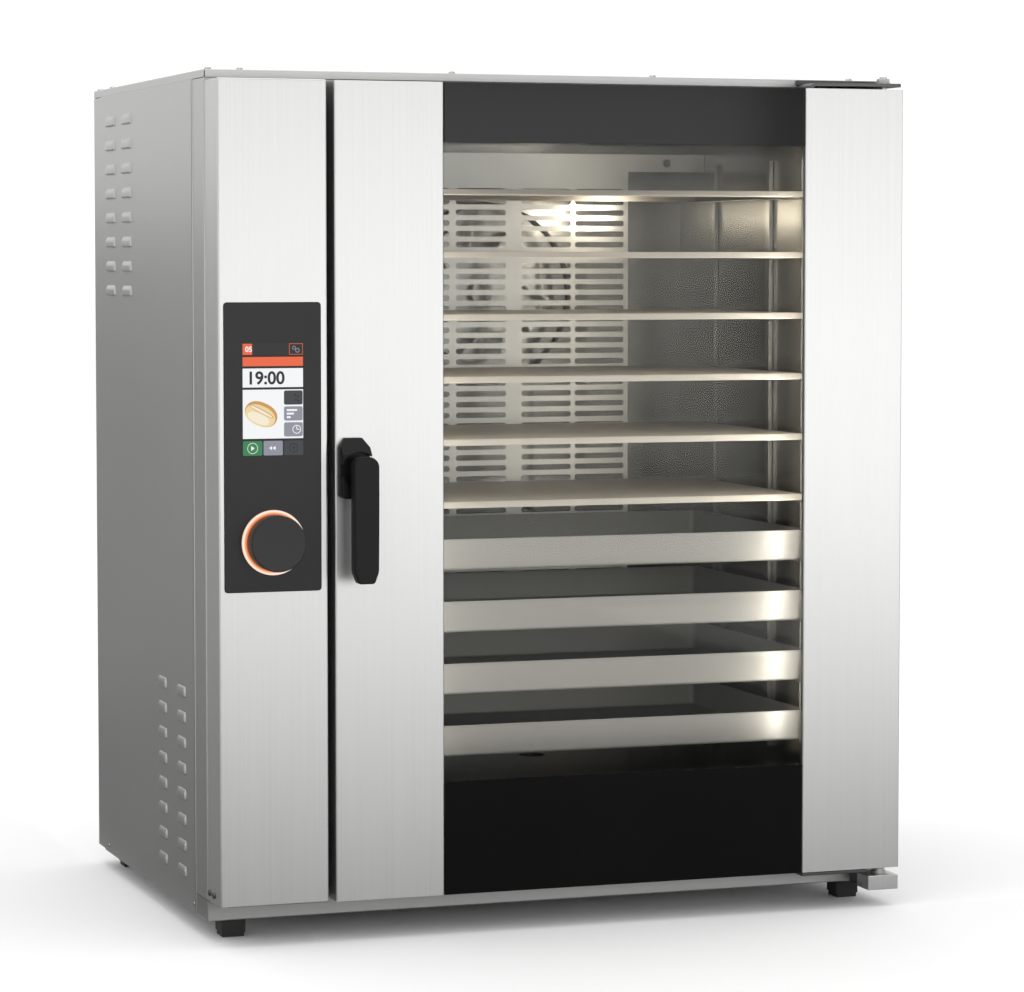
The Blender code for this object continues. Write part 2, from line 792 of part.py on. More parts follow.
def add_pan(bm, floor, rim, flare, wall):
    """A rectangular tray whose sides slope out from its floor, up or down to its rim."""
    centre = (CAVITY_CENTRE, TRAY_FRONT + TRAY_WIDTH / 2)
    long, wide = TRAY_LENGTH / 2, TRAY_WIDTH / 2
    inner_floor = floor + wall if rim > floor else floor - wall
    rings = [
        rectangle_ring(bm, long - flare, wide - flare, centre, floor),
        rectangle_ring(bm, long, wide, centre, rim),
        rectangle_ring(bm, long - wall, wide - wall, centre, rim),
        rectangle_ring(bm, long - flare - wall, wide - flare - wall, centre, inner_floor),
    ]
    faces = [bm.faces.new(rings[0]), bm.faces.new(rings[-1])]
    for ring, following in zip(rings, rings[1:]):
        for k in range(4):
            j = (k + 1) % 4
            faces.append(bm.faces.new((ring[k], ring[j], following[j], following[k])))
    bmesh.ops.recalc_face_normals(bm, faces=faces)


def make_trays():
    """Flat sheets with edges turned down above, and deep pans below them."""
    flat_depth, deep_depth = 0.008, 0.041
    flat_flare, deep_flare = 0.008, 0.006
    for number, height in enumerate(level_heights(), start=1):
        bm = bmesh.new()
        if number <= FLAT_TRAYS:
            name = f"flat_tray_{number}"
            add_pan(bm, height + flat_depth, height, flat_flare, SHEET)
        else:
            name = f"deep_tray_{number - FLAT_TRAYS}"
            add_pan(bm, height, height + deep_depth, deep_flare, SHEET)
        piece(name, bm, steel())


FAN_BACK = 0.532
FAN_DEPTH = 0.036
MOTOR_FRONT = CAVITY_BACK + SHEET + GAP


def add_blade(bm, centre, turn, plate):
    """One flat blade on the front of a fan's back plate, turned to its place round the shaft."""
    inner_radius, sink = 0.062, 0.003
    lean = math.radians(28)
    length = FAN_RADIUS - inner_radius
    distance = (FAN_RADIUS + inner_radius) / 2 - sink
    blade = bmesh.new()
    low, high = (-length / 2, -FAN_DEPTH, -plate / 2), (length / 2, -plate / 2, plate / 2)
    add_box(blade, low, high)
    place = Matrix.Translation(centre + Vector((0, FAN_BACK, 0))) @ Matrix.Rotation(turn, 4, "Y")
    place = place @ Matrix.Translation((distance, 0, 0)) @ Matrix.Rotation(lean, 4, "Y")
    blade.transform(place)
    carrier = bpy.data.meshes.new("blade")
    blade.to_mesh(carrier)
    blade.free()
    bm.from_mesh(carrier)
    bpy.data.meshes.remove(carrier)


def make_fans(joints):
    blades = 10
    plate = 0.002
    hub_radius, hub_front, hub_back = 0.016, FAN_BACK - 0.016, FAN_BACK + 0.005
    shaft_front, shaft_back = FAN_BACK - 0.020, MOTOR_FRONT + 0.020
    for label, height in FAN_HEIGHTS.items():
        centre = Vector((CAVITY_CENTRE, 0, height))
        bm = bmesh.new()
        add_rod(bm, centre, "Y", FAN_BACK - plate, FAN_BACK, FAN_RADIUS, ROUND_SIDES)
        fan = piece(f"fan_{label}", bm, steel(), centre, joints[label])
        parts = bmesh.new()
        add_rod(parts, centre, "Y", shaft_front, shaft_back, SHAFT_RADIUS)
        add_rod(parts, centre, "Y", hub_front, hub_back, hub_radius)
        for k in range(blades):
            add_blade(parts, centre, 2 * math.pi * k / blades, plate)
        combine(fan, "UNION", parts)


def make_motors():
    radius, depth, rounding = 0.052, 0.050, 0.006
    neck_end = MOTOR_FRONT + INSULATION + 0.004
    bore = SHAFT_RADIUS + 0.0008
    bore_end = MOTOR_FRONT + 0.024
    for label, height in FAN_HEIGHTS.items():
        centre = Vector((CAVITY_CENTRE, 0, height))
        profile = [
            (MOTOR_NECK, MOTOR_FRONT), (MOTOR_NECK, neck_end), (radius, neck_end),
            (radius, neck_end + depth - rounding), (radius - rounding, neck_end + depth),
        ]
        bm = bmesh.new()
        add_turned(bm, profile, centre, "Y", ROUND_SIDES)
        motor = piece(f"fan_motor_{label}", bm, dark_steel(), smooth=True)
        hole = bmesh.new()
        add_rod(hole, centre, "Y", MOTOR_FRONT - SHEET, bore_end, bore)
        combine(motor, "DIFFERENCE", hole)


def make_heaters():
    """An open ring round each fan, whose two legs leave through the rear wall."""
    ring_plane, bend_back = 0.505, 0.008
    leg_end = CAVITY_BACK + INSULATION + 0.012
    opening = math.degrees(math.asin(HEATER_LEGS / HEATER_RADIUS))
    steps = 22
    for label, height in FAN_HEIGHTS.items():
        centre = (CAVITY_CENTRE, height)
        ring = arc(centre, HEATER_RADIUS, -90 + opening, 270 - opening, steps)
        foot = height - HEATER_RADIUS
        right_leg, left_leg = CAVITY_CENTRE + HEATER_LEGS, CAVITY_CENTRE - HEATER_LEGS
        path = [(right_leg, leg_end, foot), (right_leg, ring_plane + bend_back, foot)]
        path += [(x, ring_plane, z) for x, z in ring]
        path += [(left_leg, ring_plane + bend_back, foot), (left_leg, leg_end, foot)]
        bm = bmesh.new()
        add_pipe(bm, path, HEATER_TUBE, 8)
        piece(f"heater_{label}", bm, dark_steel(), smooth=True)


def make_steam_pipe():
    inlet_end = CAVITY_BACK + INSULATION + 0.020
    nozzle = 0.470
    path = [(STEAM.x, inlet_end, STEAM.z), (STEAM.x, nozzle, STEAM.z)]
    bm = bmesh.new()
    add_pipe(bm, path, STEAM_RADIUS, SMALL_SIDES, bore=STEAM_RADIUS - 0.001)
    piece("steam_pipe", bm, steel(), smooth=True)


# Services


def make_exhaust(damper_joint):
    bore = EXHAUST_RADIUS - 0.0015
    bottom = CAVITY_CEILING + SHEET + GAP
    thickness, play = 0.0015, 0.0015
    profile = [
        (EXHAUST_RADIUS, bottom), (EXHAUST_RADIUS, EXHAUST_TOP), (bore, EXHAUST_TOP), (bore, bottom),
    ]
    bm = bmesh.new()
    add_turned(bm, profile, EXHAUST, "Z", ROUND_SIDES, hollow=True)
    collar = piece("exhaust_collar", bm, steel(), smooth=True)
    axle_radius = 0.002
    axle_reach = EXHAUST_RADIUS + 0.012
    middle = EXHAUST + Vector((0, 0, DAMPER_HEIGHT))
    across = Vector((0, middle.y, middle.z))
    holes = bmesh.new()
    start, end = middle.x - axle_reach, middle.x + axle_reach
    add_rod(holes, across, "X", start, end, axle_radius + GAP, SMALL_SIDES)
    combine(collar, "DIFFERENCE", holes)
    disc = bmesh.new()
    under, over = DAMPER_HEIGHT - thickness / 2, DAMPER_HEIGHT + thickness / 2
    add_rod(disc, EXHAUST, "Z", under, over, bore - play, ROUND_SIDES)
    damper = piece("exhaust_damper", disc, steel(), middle, damper_joint)
    axle = bmesh.new()
    add_rod(axle, across, "X", start, end, axle_radius)
    combine(damper, "UNION", axle)


def make_water_inlet():
    half, height, depth = 0.018, 0.046, 0.034
    front = BODY_DEPTH - SHEET - GAP - depth
    bm = bmesh.new()
    low = (WATER.x - half, front, WATER.z - half)
    add_box(bm, low, (WATER.x + half, front + depth, WATER.z - half + height))
    valve = piece("water_inlet_valve", bm, brass())
    stub = bmesh.new()
    add_rod(stub, WATER, "Y", front + depth / 2, BODY_DEPTH + REAR_REACH, WATER_RADIUS)
    combine(valve, "UNION", stub)
    bore = bmesh.new()
    add_rod(bore, WATER, "Y", front + depth, BODY_DEPTH + 2 * REAR_REACH, WATER_RADIUS - 0.003)
    combine(valve, "DIFFERENCE", bore)


def make_drain_pipe():
    start = CAVITY_FLOOR - SHEET - GAP
    bend = 0.030
    steps = 4
    path = [(DRAIN.x, DRAIN.y, start)]
    for y, z in arc((DRAIN.y + bend, DRAIN.z + bend), bend, 180, 270, steps):
        path.append((DRAIN.x, y, z))
    path.append((DRAIN.x, BODY_DEPTH + REAR_REACH, DRAIN.z))
    bm = bmesh.new()
    add_pipe(bm, path, DRAIN_RADIUS, 16, bore=DRAIN_RADIUS - 0.0015)
    piece("drain_pipe", bm, steel(), smooth=True)


def make_cable_gland():
    flange = GLAND_RADIUS + 0.005
    bore = 0.006
    inner_end, outer_end = BODY_DEPTH - 0.012, BODY_DEPTH + 0.022
    profile = [
        (bore, inner_end), (GLAND_RADIUS, inner_end), (GLAND_RADIUS, BODY_DEPTH + GAP),
        (flange, BODY_DEPTH + GAP), (flange, BODY_DEPTH + 0.010),
        (GLAND_RADIUS, BODY_DEPTH + 0.012), (bore + 0.003, outer_end), (bore, outer_end),
    ]
    bm = bmesh.new()
    add_turned(bm, profile, GLAND, "Y", SMALL_SIDES, hollow=True)
    piece("cable_gland", bm, black_plastic())


# The hinges and the strike
WASHER_RADIUS = 0.010
PIN_ENTRY = 0.022


def make_top_hinge():
    left, front = 0.784, -0.062
    plate_bottom, plate_top = 1.0660, 1.0705
    flange = 0.003
    bm = bmesh.new()
    outline = [
        (-GAP, plate_bottom), (-GAP, BODY_HEIGHT - 0.001), (-GAP - flange, BODY_HEIGHT - 0.001),
        (-GAP - flange, plate_top), (front, plate_top), (front, plate_bottom),
    ]
    add_prism(bm, outline, "X", left, BODY_WIDTH - 0.001)
    bracket = piece("hinge_bracket_top", bm, dark_steel())
    hole = bmesh.new()
    add_rod(hole, HINGE, "Z", plate_bottom - SHEET, plate_top + SHEET, PIN_RADIUS + GAP)
    combine(bracket, "DIFFERENCE", hole)
    nut = 0.0085
    head = plate_top + GAP
    washer_top = head + SHEET
    nut_top = washer_top + 0.0045
    tip = nut_top + 0.003
    profile = [
        (PIN_RADIUS, DOOR_TOP - PIN_ENTRY), (PIN_RADIUS, head), (WASHER_RADIUS, head),
        (WASHER_RADIUS, washer_top), (nut, washer_top), (nut, nut_top),
        (PIN_RADIUS, nut_top + 0.001), (PIN_RADIUS, tip),
    ]
    pin = bmesh.new()
    add_turned(pin, profile, HINGE, "Z", SMALL_SIDES)
    piece("hinge_pin_top", pin, steel())


def make_bottom_hinge():
    left, right = 0.8905, 0.934
    bottom, top = -0.002, 0.019
    bm = bmesh.new()
    add_box(bm, (left, DOOR_FRONT, bottom), (right, -GAP, top))
    block = piece("hinge_bracket_bottom", bm, steel())
    washer_bottom, washer_top = top - 0.001, top + 0.004
    profile = [
        (PIN_RADIUS, bottom + 0.004), (PIN_RADIUS, washer_bottom), (WASHER_RADIUS, washer_bottom),
        (WASHER_RADIUS, washer_top), (PIN_RADIUS, washer_top), (PIN_RADIUS, DOOR_BOTTOM + PIN_ENTRY),
    ]
    pin = bmesh.new()
    add_turned(pin, profile, HINGE, "Z", SMALL_SIDES)
    combine(block, "UNION", pin)


CAM_BACK = -0.0035
CAM_THICKNESS = 0.0035


def make_strike():
    """The stud plate beside the latch cam, on the front frame."""
    left, right = 0.153, 0.165
    bottom, top = 0.543, 0.577
    front = -0.0072
    bm = bmesh.new()
    add_box(bm, (left, front, bottom), (right, -GAP, top))
    piece("strike", bm, steel())


# The door


def make_door_stiles(door):
    inner_wall_back = -0.020
    back = DOOR_BACK - BACK_PLATE - GAP
    sides = (
        ("door_left_stile", DOOR_LEFT, PANE_LEFT - GAP, PANE_LEFT),
        ("door_right_stile", PANE_RIGHT + GAP, DOOR_RIGHT, PANE_RIGHT),
    )
    for name, left, right, pane_edge in sides:
        bm = bmesh.new()
        add_box(bm, (left, DOOR_FRONT, DOOR_BOTTOM), (right, back, DOOR_TOP))
        stile = piece(name, bm, steel(), HINGE, door)
        hollow = bmesh.new()
        add_box(
            hollow,
            (left + SHEET, DOOR_FRONT + SHEET, DOOR_BOTTOM + SHEET),
            (right - SHEET, 0, DOOR_TOP - SHEET),
        )
        combine(stile, "DIFFERENCE", hollow)
        notches = bmesh.new()
        notch = 0.004
        add_box(
            notches,
            (pane_edge - notch, inner_wall_back, DOOR_BOTTOM + SHEET),
            (pane_edge + notch, 0, DOOR_TOP - SHEET),
        )
        if name == "door_left_stile":
            start, end = DOOR_FRONT - SHEET, DOOR_FRONT + 3 * SHEET
            add_rod(notches, LATCH, "Y", start, end, SPINDLE_RADIUS + SPINDLE_PLAY)
        else:
            for z in (DOOR_BOTTOM, DOOR_TOP):
                add_rod(notches, HINGE, "Z", z - 3 * SHEET, z + 3 * SHEET, PIN_RADIUS + PIN_PLAY)
        combine(stile, "DIFFERENCE", notches)


SIGHT_LOW = (0.266, 0.165)
SIGHT_HIGH = (0.824, 1.000)


def make_door_back_frame(door):
    """The inner plate of the door, with a flange over and under the panes."""
    side_gap = 0.0012
    front = DOOR_BACK - BACK_PLATE
    bm = bmesh.new()
    add_box(
        bm,
        (DOOR_LEFT + side_gap, front, DOOR_BOTTOM + side_gap),
        (DOOR_RIGHT - side_gap, DOOR_BACK, DOOR_TOP - side_gap),
    )
    plate = piece("door_back_frame", bm, steel(), HINGE, door)
    flanges = bmesh.new()
    flange_front = DOOR_FRONT + 0.0065
    for z in (DOOR_BOTTOM + side_gap, DOOR_TOP - side_gap - SHEET):
        add_box(
            flanges,
            (PANE_LEFT + GAP, flange_front, z),
            (PANE_RIGHT - GAP, front + BACK_PLATE / 2, z + SHEET),
        )
    combine(plate, "UNION", flanges)
    cuts = bmesh.new()
    add_box(
        cuts,
        (SIGHT_LOW[0], front - SHEET, SIGHT_LOW[1]),
        (SIGHT_HIGH[0], DOOR_BACK + SHEET, SIGHT_HIGH[1]),
    )
    add_rod(cuts, LATCH, "Y", front - SHEET, DOOR_BACK + SHEET, SPINDLE_RADIUS + SPINDLE_PLAY)
    combine(plate, "DIFFERENCE", cuts)


def make_door_panes(door):
    outer = 0.006
    bm = bmesh.new()
    add_box(bm, (PANE_LEFT, DOOR_FRONT, DOOR_BOTTOM), (PANE_RIGHT, DOOR_FRONT + outer, DOOR_TOP))
    piece("door_outer_glass", bm, clear_glass(), HINGE, door)
    overlap, inner = 0.010, 0.005
    back = DOOR_BACK - BACK_PLATE - GAP
    bm = bmesh.new()
    add_box(
        bm,
        (SIGHT_LOW[0] - overlap, back - inner, SIGHT_LOW[1] - overlap),
        (SIGHT_HIGH[0] + overlap, back, SIGHT_HIGH[1] + overlap),
    )
    piece("door_inner_glass", bm, clear_glass(), HINGE, door)


def make_lamp_strips(door):
    width, front, back = 0.016, -0.052, -0.034
    bottom, top = 0.180, 0.985
    for name, left in (("lamp_strip_left", 0.266), ("lamp_strip_right", 0.8065)):
        outline = rounded_rectangle((left, front), (left + width, back), 0.004, steps=2)
        bm = bmesh.new()
        add_prism(bm, outline, "Z", bottom, top)
        piece(name, bm, lamp_cover(), HINGE, door)


# The door handle
HANDLE_BASE_FRONT = -0.087


def make_handle_base(door):
    left, right = 0.155, 0.197
    bottom, shoulder, top = 0.5395, 0.595, 0.615
    corner = 0.008
    chamfer = 0.010
    back = DOOR_FRONT - GAP
    outline = [
        (left + 0.003, bottom), (right - 0.003, bottom), (right, bottom + 0.003), (right, top - corner),
        (right - corner, top), (left + corner, top), (left, top - corner), (left, bottom + 0.003),
    ]
    bm = bmesh.new()
    add_prism(bm, outline, "Y", HANDLE_BASE_FRONT, back)
    base = piece("handle_base", bm, black_plastic(), LATCH, door)
    cuts = bmesh.new()
    slope = [
        (HANDLE_BASE_FRONT - chamfer, shoulder), (HANDLE_BASE_FRONT, shoulder),
        (back - 0.006, top + 0.001), (HANDLE_BASE_FRONT - chamfer, top + 0.001),
    ]
    add_prism(cuts, slope, "X", left - SHEET, right + SHEET)
    add_rod(cuts, LATCH, "Y", HANDLE_BASE_FRONT - SHEET, back + SHEET, SPINDLE_RADIUS + SPINDLE_PLAY)
    combine(base, "DIFFERENCE", cuts)


LEVER_FRONT = -DOOR_REACH - HANDLE_REACH
LEVER_BACK = -0.096


def make_handle_lever(latch):
    left, right = 0.1608, 0.1942
    bottom, taper, shoulder, top = 0.434, 0.454, 0.578, 0.593
    taper_in = 0.0045
    outline = [
        (left + taper_in, bottom), (right - taper_in, bottom), (right, taper), (right, shoulder),
    ]
    middle = (left + right) / 2
    radius = (right - left) / 2
    outline += arc((middle, top - radius), radius, 10, 170, 6)
    outline += [(left, shoulder), (left, taper)]
    edge = 0.003
    shrunk = [shrink_point(point, (middle, (top + bottom) / 2), edge) for point in outline]
    bm = bmesh.new()
    rings = []
    sections = (
        (LEVER_FRONT, shrunk), (LEVER_FRONT + edge, outline),
        (LEVER_BACK - edge, outline), (LEVER_BACK, shrunk),
    )
    for y, points in sections:
        rings.append([bm.verts.new((x, y, z)) for x, z in points])
    faces = [bm.faces.new(rings[0]), bm.faces.new(rings[-1])]
    for ring, following in zip(rings, rings[1:]):
        for k in range(len(ring)):
            j = (k + 1) % len(ring)
            faces.append(bm.faces.new((ring[k], ring[j], following[j], following[k])))
    bmesh.ops.recalc_face_normals(bm, faces=faces)
    lever = piece("handle_lever", bm, black_plastic(), LATCH, latch)
    neck = bmesh.new()
    neck_radius = 0.0135
    add_rod(neck, LATCH, "Y", LEVER_BACK - 0.004, HANDLE_BASE_FRONT - GAP, neck_radius, ROUND_SIDES)
    combine(lever, "UNION", neck)
    socket = bmesh.new()
    add_rod(socket, LATCH, "Y", LEVER_BACK - 0.003, HANDLE_BASE_FRONT + SHEET, SPINDLE_RADIUS + GAP)
    combine(lever, "DIFFERENCE", socket)


def shrink_point(point, centre, amount):
    x, z = point
    x += amount if x < centre[0] else -amount
    z += amount if z < centre[1] else -amount
    return x, z


def make_latch_spindle(latch):
    """The spindle through the door, with the cam that turns behind it."""
    cam_front = CAM_BACK - CAM_THICKNESS
    hub, tongue_half, tongue_reach, tip_gap = 0.011, 0.005, 0.026, 0.0025
    bm = bmesh.new()
    add_rod(bm, LATCH, "Y", LEVER_BACK - tip_gap, CAM_BACK, SPINDLE_RADIUS)
    spindle = piece("latch_spindle", bm, steel(), LATCH, latch)
    cam = bmesh.new()
    add_rod(cam, LATCH, "Y", cam_front, CAM_BACK, hub, ROUND_SIDES)
    add_box(
        cam,
        (LATCH.x - tongue_half, cam_front, LATCH.z - tongue_reach),
        (LATCH.x + tongue_half, CAM_BACK, LATCH.z),
    )
    combine(spindle, "UNION", cam)


def make_housing():
    make_base_tray()
    make_front_frame()
    make_side_panels()
    make_rear_cover()
    make_top_cover()
    make_feet()
    make_control_fascia()
    make_control_glass()
    make_display_module()
    make_control_board()
    make_glow_ring()
    make_encoder()
    make_cavity_liner()
    make_insulation_jacket()
    make_door_gasket()
    make_rear_baffle()
    make_racks()
    make_trays()
    make_motors()
    make_heaters()
    make_steam_pipe()
    make_water_inlet()
    make_drain_pipe()
    make_cable_gland()
    make_top_hinge()
    make_bottom_hinge()
    make_strike()


def main():
    clear_scene()
    make_housing()
    door = joint_empty("door_hinge_axis", HINGE)
    make_door_stiles(door)
    make_door_back_frame(door)
    make_door_panes(door)
    make_lamp_strips(door)
    make_handle_base(door)
    latch = joint_empty("latch_axis", LATCH, door)
    make_handle_lever(latch)
    make_latch_spindle(latch)
    press = joint_empty("knob_press_axis", KNOB_CENTRE)
    turn = joint_empty("knob_turn_axis", KNOB_CENTRE, press)
    make_knob(press, turn)
    fans = {
        label: joint_empty(f"fan_axis_{label}", Vector((CAVITY_CENTRE, 0, height)))
        for label, height in FAN_HEIGHTS.items()
    }
    make_fans(fans)
    damper = joint_empty("damper_axis", EXHAUST + Vector((0, 0, DAMPER_HEIGHT)))
    make_exhaust(damper)


main()
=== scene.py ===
"""The looks of a ten-level combi steamer oven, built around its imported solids.

Lengths are in metres. Every mesh is made where it stands, so its object stays at the origin and
its object coordinates, which the materials read, are the same as the frame's.
"""

import json
import math

import bmesh
import bpy
from mathutils import Matrix, Vector


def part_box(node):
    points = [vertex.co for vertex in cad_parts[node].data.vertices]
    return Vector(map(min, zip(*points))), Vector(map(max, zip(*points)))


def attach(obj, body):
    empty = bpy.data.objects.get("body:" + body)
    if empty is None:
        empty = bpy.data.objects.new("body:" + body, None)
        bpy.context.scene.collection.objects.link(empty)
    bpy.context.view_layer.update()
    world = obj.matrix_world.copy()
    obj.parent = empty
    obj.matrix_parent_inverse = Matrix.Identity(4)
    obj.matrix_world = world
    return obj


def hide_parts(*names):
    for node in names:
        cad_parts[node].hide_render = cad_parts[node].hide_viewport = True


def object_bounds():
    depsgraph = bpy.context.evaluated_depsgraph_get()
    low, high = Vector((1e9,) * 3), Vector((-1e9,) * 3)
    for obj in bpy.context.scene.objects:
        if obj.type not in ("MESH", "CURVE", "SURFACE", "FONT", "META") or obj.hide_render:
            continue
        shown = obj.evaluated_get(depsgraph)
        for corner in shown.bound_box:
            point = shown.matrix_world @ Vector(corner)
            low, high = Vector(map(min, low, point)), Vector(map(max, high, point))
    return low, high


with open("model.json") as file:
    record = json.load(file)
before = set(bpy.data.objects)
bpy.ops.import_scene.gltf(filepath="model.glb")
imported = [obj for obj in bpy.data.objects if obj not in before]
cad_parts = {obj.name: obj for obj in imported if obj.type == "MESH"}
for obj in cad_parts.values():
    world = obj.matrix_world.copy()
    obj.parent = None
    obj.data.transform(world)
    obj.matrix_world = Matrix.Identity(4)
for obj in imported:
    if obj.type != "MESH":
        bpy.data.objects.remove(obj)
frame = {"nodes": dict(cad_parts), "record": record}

CAD_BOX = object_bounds()

# Sheet metal: its thickness, its folds, and how far the left side stands out and the column stands in
SHEET = 0.0015
FOLD_RADIUS = 0.0018
SKIN_GAP = 0.0002
SIDE_PROUD = 0.0010
FASCIA_STEP = 0.0012

# Edges that turn by more than this, in radians, are broken
SHARP = math.radians(30)

# The louvre hoods of the left side
HOOD_HEIGHT = 0.014
HOOD_REACH = 0.0026

# The door: its pane's blackened bands, the lever's axis below its top, and the hinge's radii
UPPER_BAND = 0.0755
LOWER_BAND = 0.1445
AXIS_DROP = 0.0180
PIN = 0.005
WASHER = 0.010

# The camera
CAMERA_PLACE = (-1.5589, -4.5837, 0.8643)
CAMERA_YAW = 19.217
CAMERA_PITCH = 3.348
CAMERA_SHIFT = -0.03
LENS = 123.92

# Screw heads
SMALL_SCREW = 0.0032
PANEL_SCREW = 0.0045

# The strength of the sky, and the radiance of each lamp's face
SKY = 1.1
KEY = 2.28
KEY_RIGHT = 2.75
FLOOR_GLOW = 2.4
OVERHEAD = 1.2
CAVITY_WASH = 0.85
CAVITY_LAMP = 50
TRAY_LAMPS = 19


# Where things are


def corner_of(node):
    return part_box(node)[0]


BODY = corner_of("base_tray")


def middle_of(node):
    low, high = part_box(node)
    return (low + high) / 2


def half_width_of(node):
    low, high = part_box(node)
    return (high.x - low.x) / 2


def at(x, y, z):
    """A point measured from the body's front lower left corner."""
    return BODY + Vector((x, y, z))


def along(axis, distance, first, second):
    """A point at a distance along an axis, with its other two coordinates in x, y, z order."""
    if axis == "X":
        return Vector((distance, first, second))
    if axis == "Y":
        return Vector((first, distance, second))
    return Vector((first, second, distance))


def arc(centre, radius, start, end, steps):
    """Points of a flat arc, with its angles in degrees."""
    points = []
    for k in range(steps + 1):
        angle = math.radians(start + (end - start) * k / steps)
        points.append((centre[0] + radius * math.cos(angle), centre[1] + radius * math.sin(angle)))
    return points


def rectangle(low, high, inset):
    """The outline of a box seen from above, drawn in from its sides."""
    return [
        (low.x + inset, low.y + inset), (high.x - inset, low.y + inset),
        (high.x - inset, high.y - inset), (low.x + inset, high.y - inset),
    ]


def rounded_rectangle(low, high, radius, steps=4):
    (x0, z0), (x1, z1) = low, high
    outline = arc((x0 + radius, z0 + radius), radius, 180, 270, steps)
    outline += arc((x1 - radius, z0 + radius), radius, 270, 360, steps)
    outline += arc((x1 - radius, z1 - radius), radius, 0, 90, steps)
    outline += arc((x0 + radius, z1 - radius), radius, 90, 180, steps)
    return outline


def circle(centre, radius, sides=24):
    return arc(centre, radius, 0, 360 * (sides - 1) / sides, sides - 1)


# Mesh building


def new_mesh(name, bm):
    mesh = bpy.data.meshes.new(name)
    bm.to_mesh(mesh)
    bm.free()
    return mesh


def new_object(name, data):
    made = bpy.data.objects.new(name, data)
    bpy.context.scene.collection.objects.link(made)
    return made


def bevel(bm, edges, radius, segments=2, **options):
    bmesh.ops.bevel(
        bm, geom=list(edges), offset=radius, segments=segments, affect="EDGES", profile=0.5, **options
    )


def add_loft(bm, rings, closed=True, loop=False):
    """Skins a row of rings of points. Its ends are capped, unless it is open or loops round."""
    made = [[bm.verts.new(point) for point in ring] for ring in rings]
    faces = []
    pairs = list(zip(made, made[1:]))
    if loop:
        pairs.append((made[-1], made[0]))
    for ring, following in pairs:
        for k in range(len(ring)):
            j = (k + 1) % len(ring)
            faces.append(bm.faces.new((ring[k], ring[j], following[j], following[k])))
    if closed and not loop:
        faces.append(bm.faces.new(made[0]))
        faces.append(bm.faces.new(made[-1]))
    bmesh.ops.recalc_face_normals(bm, faces=faces)
    return faces


def add_block(bm, low, high):
    low, high = Vector(low), Vector(high)
    corners = bmesh.ops.create_cube(bm, size=1)["verts"]
    bmesh.ops.scale(bm, vec=high - low, verts=corners)
    bmesh.ops.translate(bm, vec=(low + high) / 2, verts=corners)
    return corners


def add_soft_block(bm, low, high, radius, segments=2):
    corners = add_block(bm, low, high)
    bevel(bm, {edge for corner in corners for edge in corner.link_edges}, radius, segments)


def add_prism(bm, outline, axis, start, end):
    rings = [[along(axis, level, *point) for point in outline] for level in (start, end)]
    return add_loft(bm, rings)


def add_soft_prism(bm, outline, axis, start, end, radius):
    """A prism whose front and back rims are chamfered by a small radius."""
    middle_a = sum(a for a, _ in outline) / len(outline)
    middle_b = sum(b for _, b in outline) / len(outline)
    reach = max(max(abs(a - middle_a), abs(b - middle_b)) for a, b in outline)
    share = 1 - radius / reach
    small = [(middle_a + (a - middle_a) * share, middle_b + (b - middle_b) * share) for a, b in outline]
    way = math.copysign(radius, end - start)
    levels = ((start, small), (start + way, outline), (end - way, outline), (end, small))
    add_loft(bm, [[along(axis, level, *point) for point in points] for level, points in levels])


def add_plate(bm, outline, holes, axis, start, end):
    """A flat plate with holes through it."""
    edges = []
    for points in (outline, *holes):
        verts = [bm.verts.new(along(axis, start, *point)) for point in points]
        edges += [bm.edges.new(pair) for pair in zip(verts, verts[1:] + verts[:1])]
    filled = bmesh.ops.triangle_fill(bm, use_beauty=True, edges=edges)["geom"]
    faces = [item for item in filled if isinstance(item, bmesh.types.BMFace)]
    grown = bmesh.ops.extrude_face_region(bm, geom=faces)["geom"]
    moved = [item for item in grown if isinstance(item, bmesh.types.BMVert)]
    bmesh.ops.translate(bm, vec=along(axis, end - start, 0, 0), verts=moved)
    bmesh.ops.recalc_face_normals(bm, faces=bm.faces)


def add_turned(bm, profile, centre, axis, sides=48, loop=False):
    """Turns (radius, distance) points about an axis through a centre."""
    centre = Vector(centre)
    rings = []
    for radius, distance in profile:
        ring = circle((0, 0), max(radius, 1e-5), sides)
        rings.append([along(axis, distance, *point) + centre for point in ring])
    return add_loft(bm, rings, loop=loop)


def add_screw(bm, place, way, radius):
    """A low domed screw head with a round socket, standing on a surface that faces along way."""
    height = radius * 0.62
    profile = (
        (radius, -SKIN_GAP), (radius, height * 0.35), (radius * 0.86, height * 0.75),
        (radius * 0.60, height), (radius * 0.42, height),
        (radius * 0.38, height * 0.35), (0, height * 0.30),
    )
    first = len(bm.verts)
    add_turned(bm, profile, (0, 0, 0), "Z", 18)
    bm.verts.ensure_lookup_table()
    turn = Vector((0, 0, 1)).rotation_difference(Vector(way)).to_matrix().to_4x4()
    bmesh.ops.transform(bm, matrix=Matrix.Translation(place) @ turn, verts=bm.verts[first:])


def on_box(face, low, high, skip):
    """Whether a face lies on its mesh's own box, leaving out the side named by skip, such as +Y."""
    axis = max(range(3), key=lambda k: abs(face.normal[k]))
    positive = face.normal[axis] > 0
    if abs(face.normal[axis]) < 0.99 or skip == ("+" if positive else "-") + "XYZ"[axis]:
        return False
    level = high[axis] if positive else low[axis]
    return abs(face.calc_center_median()[axis] - level) < 1e-4


def copy_of_node(node):
    """A clean mesh of a node's solid: welded, with its flat faces whole again."""
    bm = bmesh.new()
    bm.from_mesh(frame["nodes"][node].data)
    bmesh.ops.remove_doubles(bm, verts=bm.verts, dist=1e-6)
    bmesh.ops.dissolve_limit(bm, angle_limit=math.radians(0.5), verts=bm.verts, edges=bm.edges)
    bmesh.ops.recalc_face_normals(bm, faces=bm.faces)
    return bm


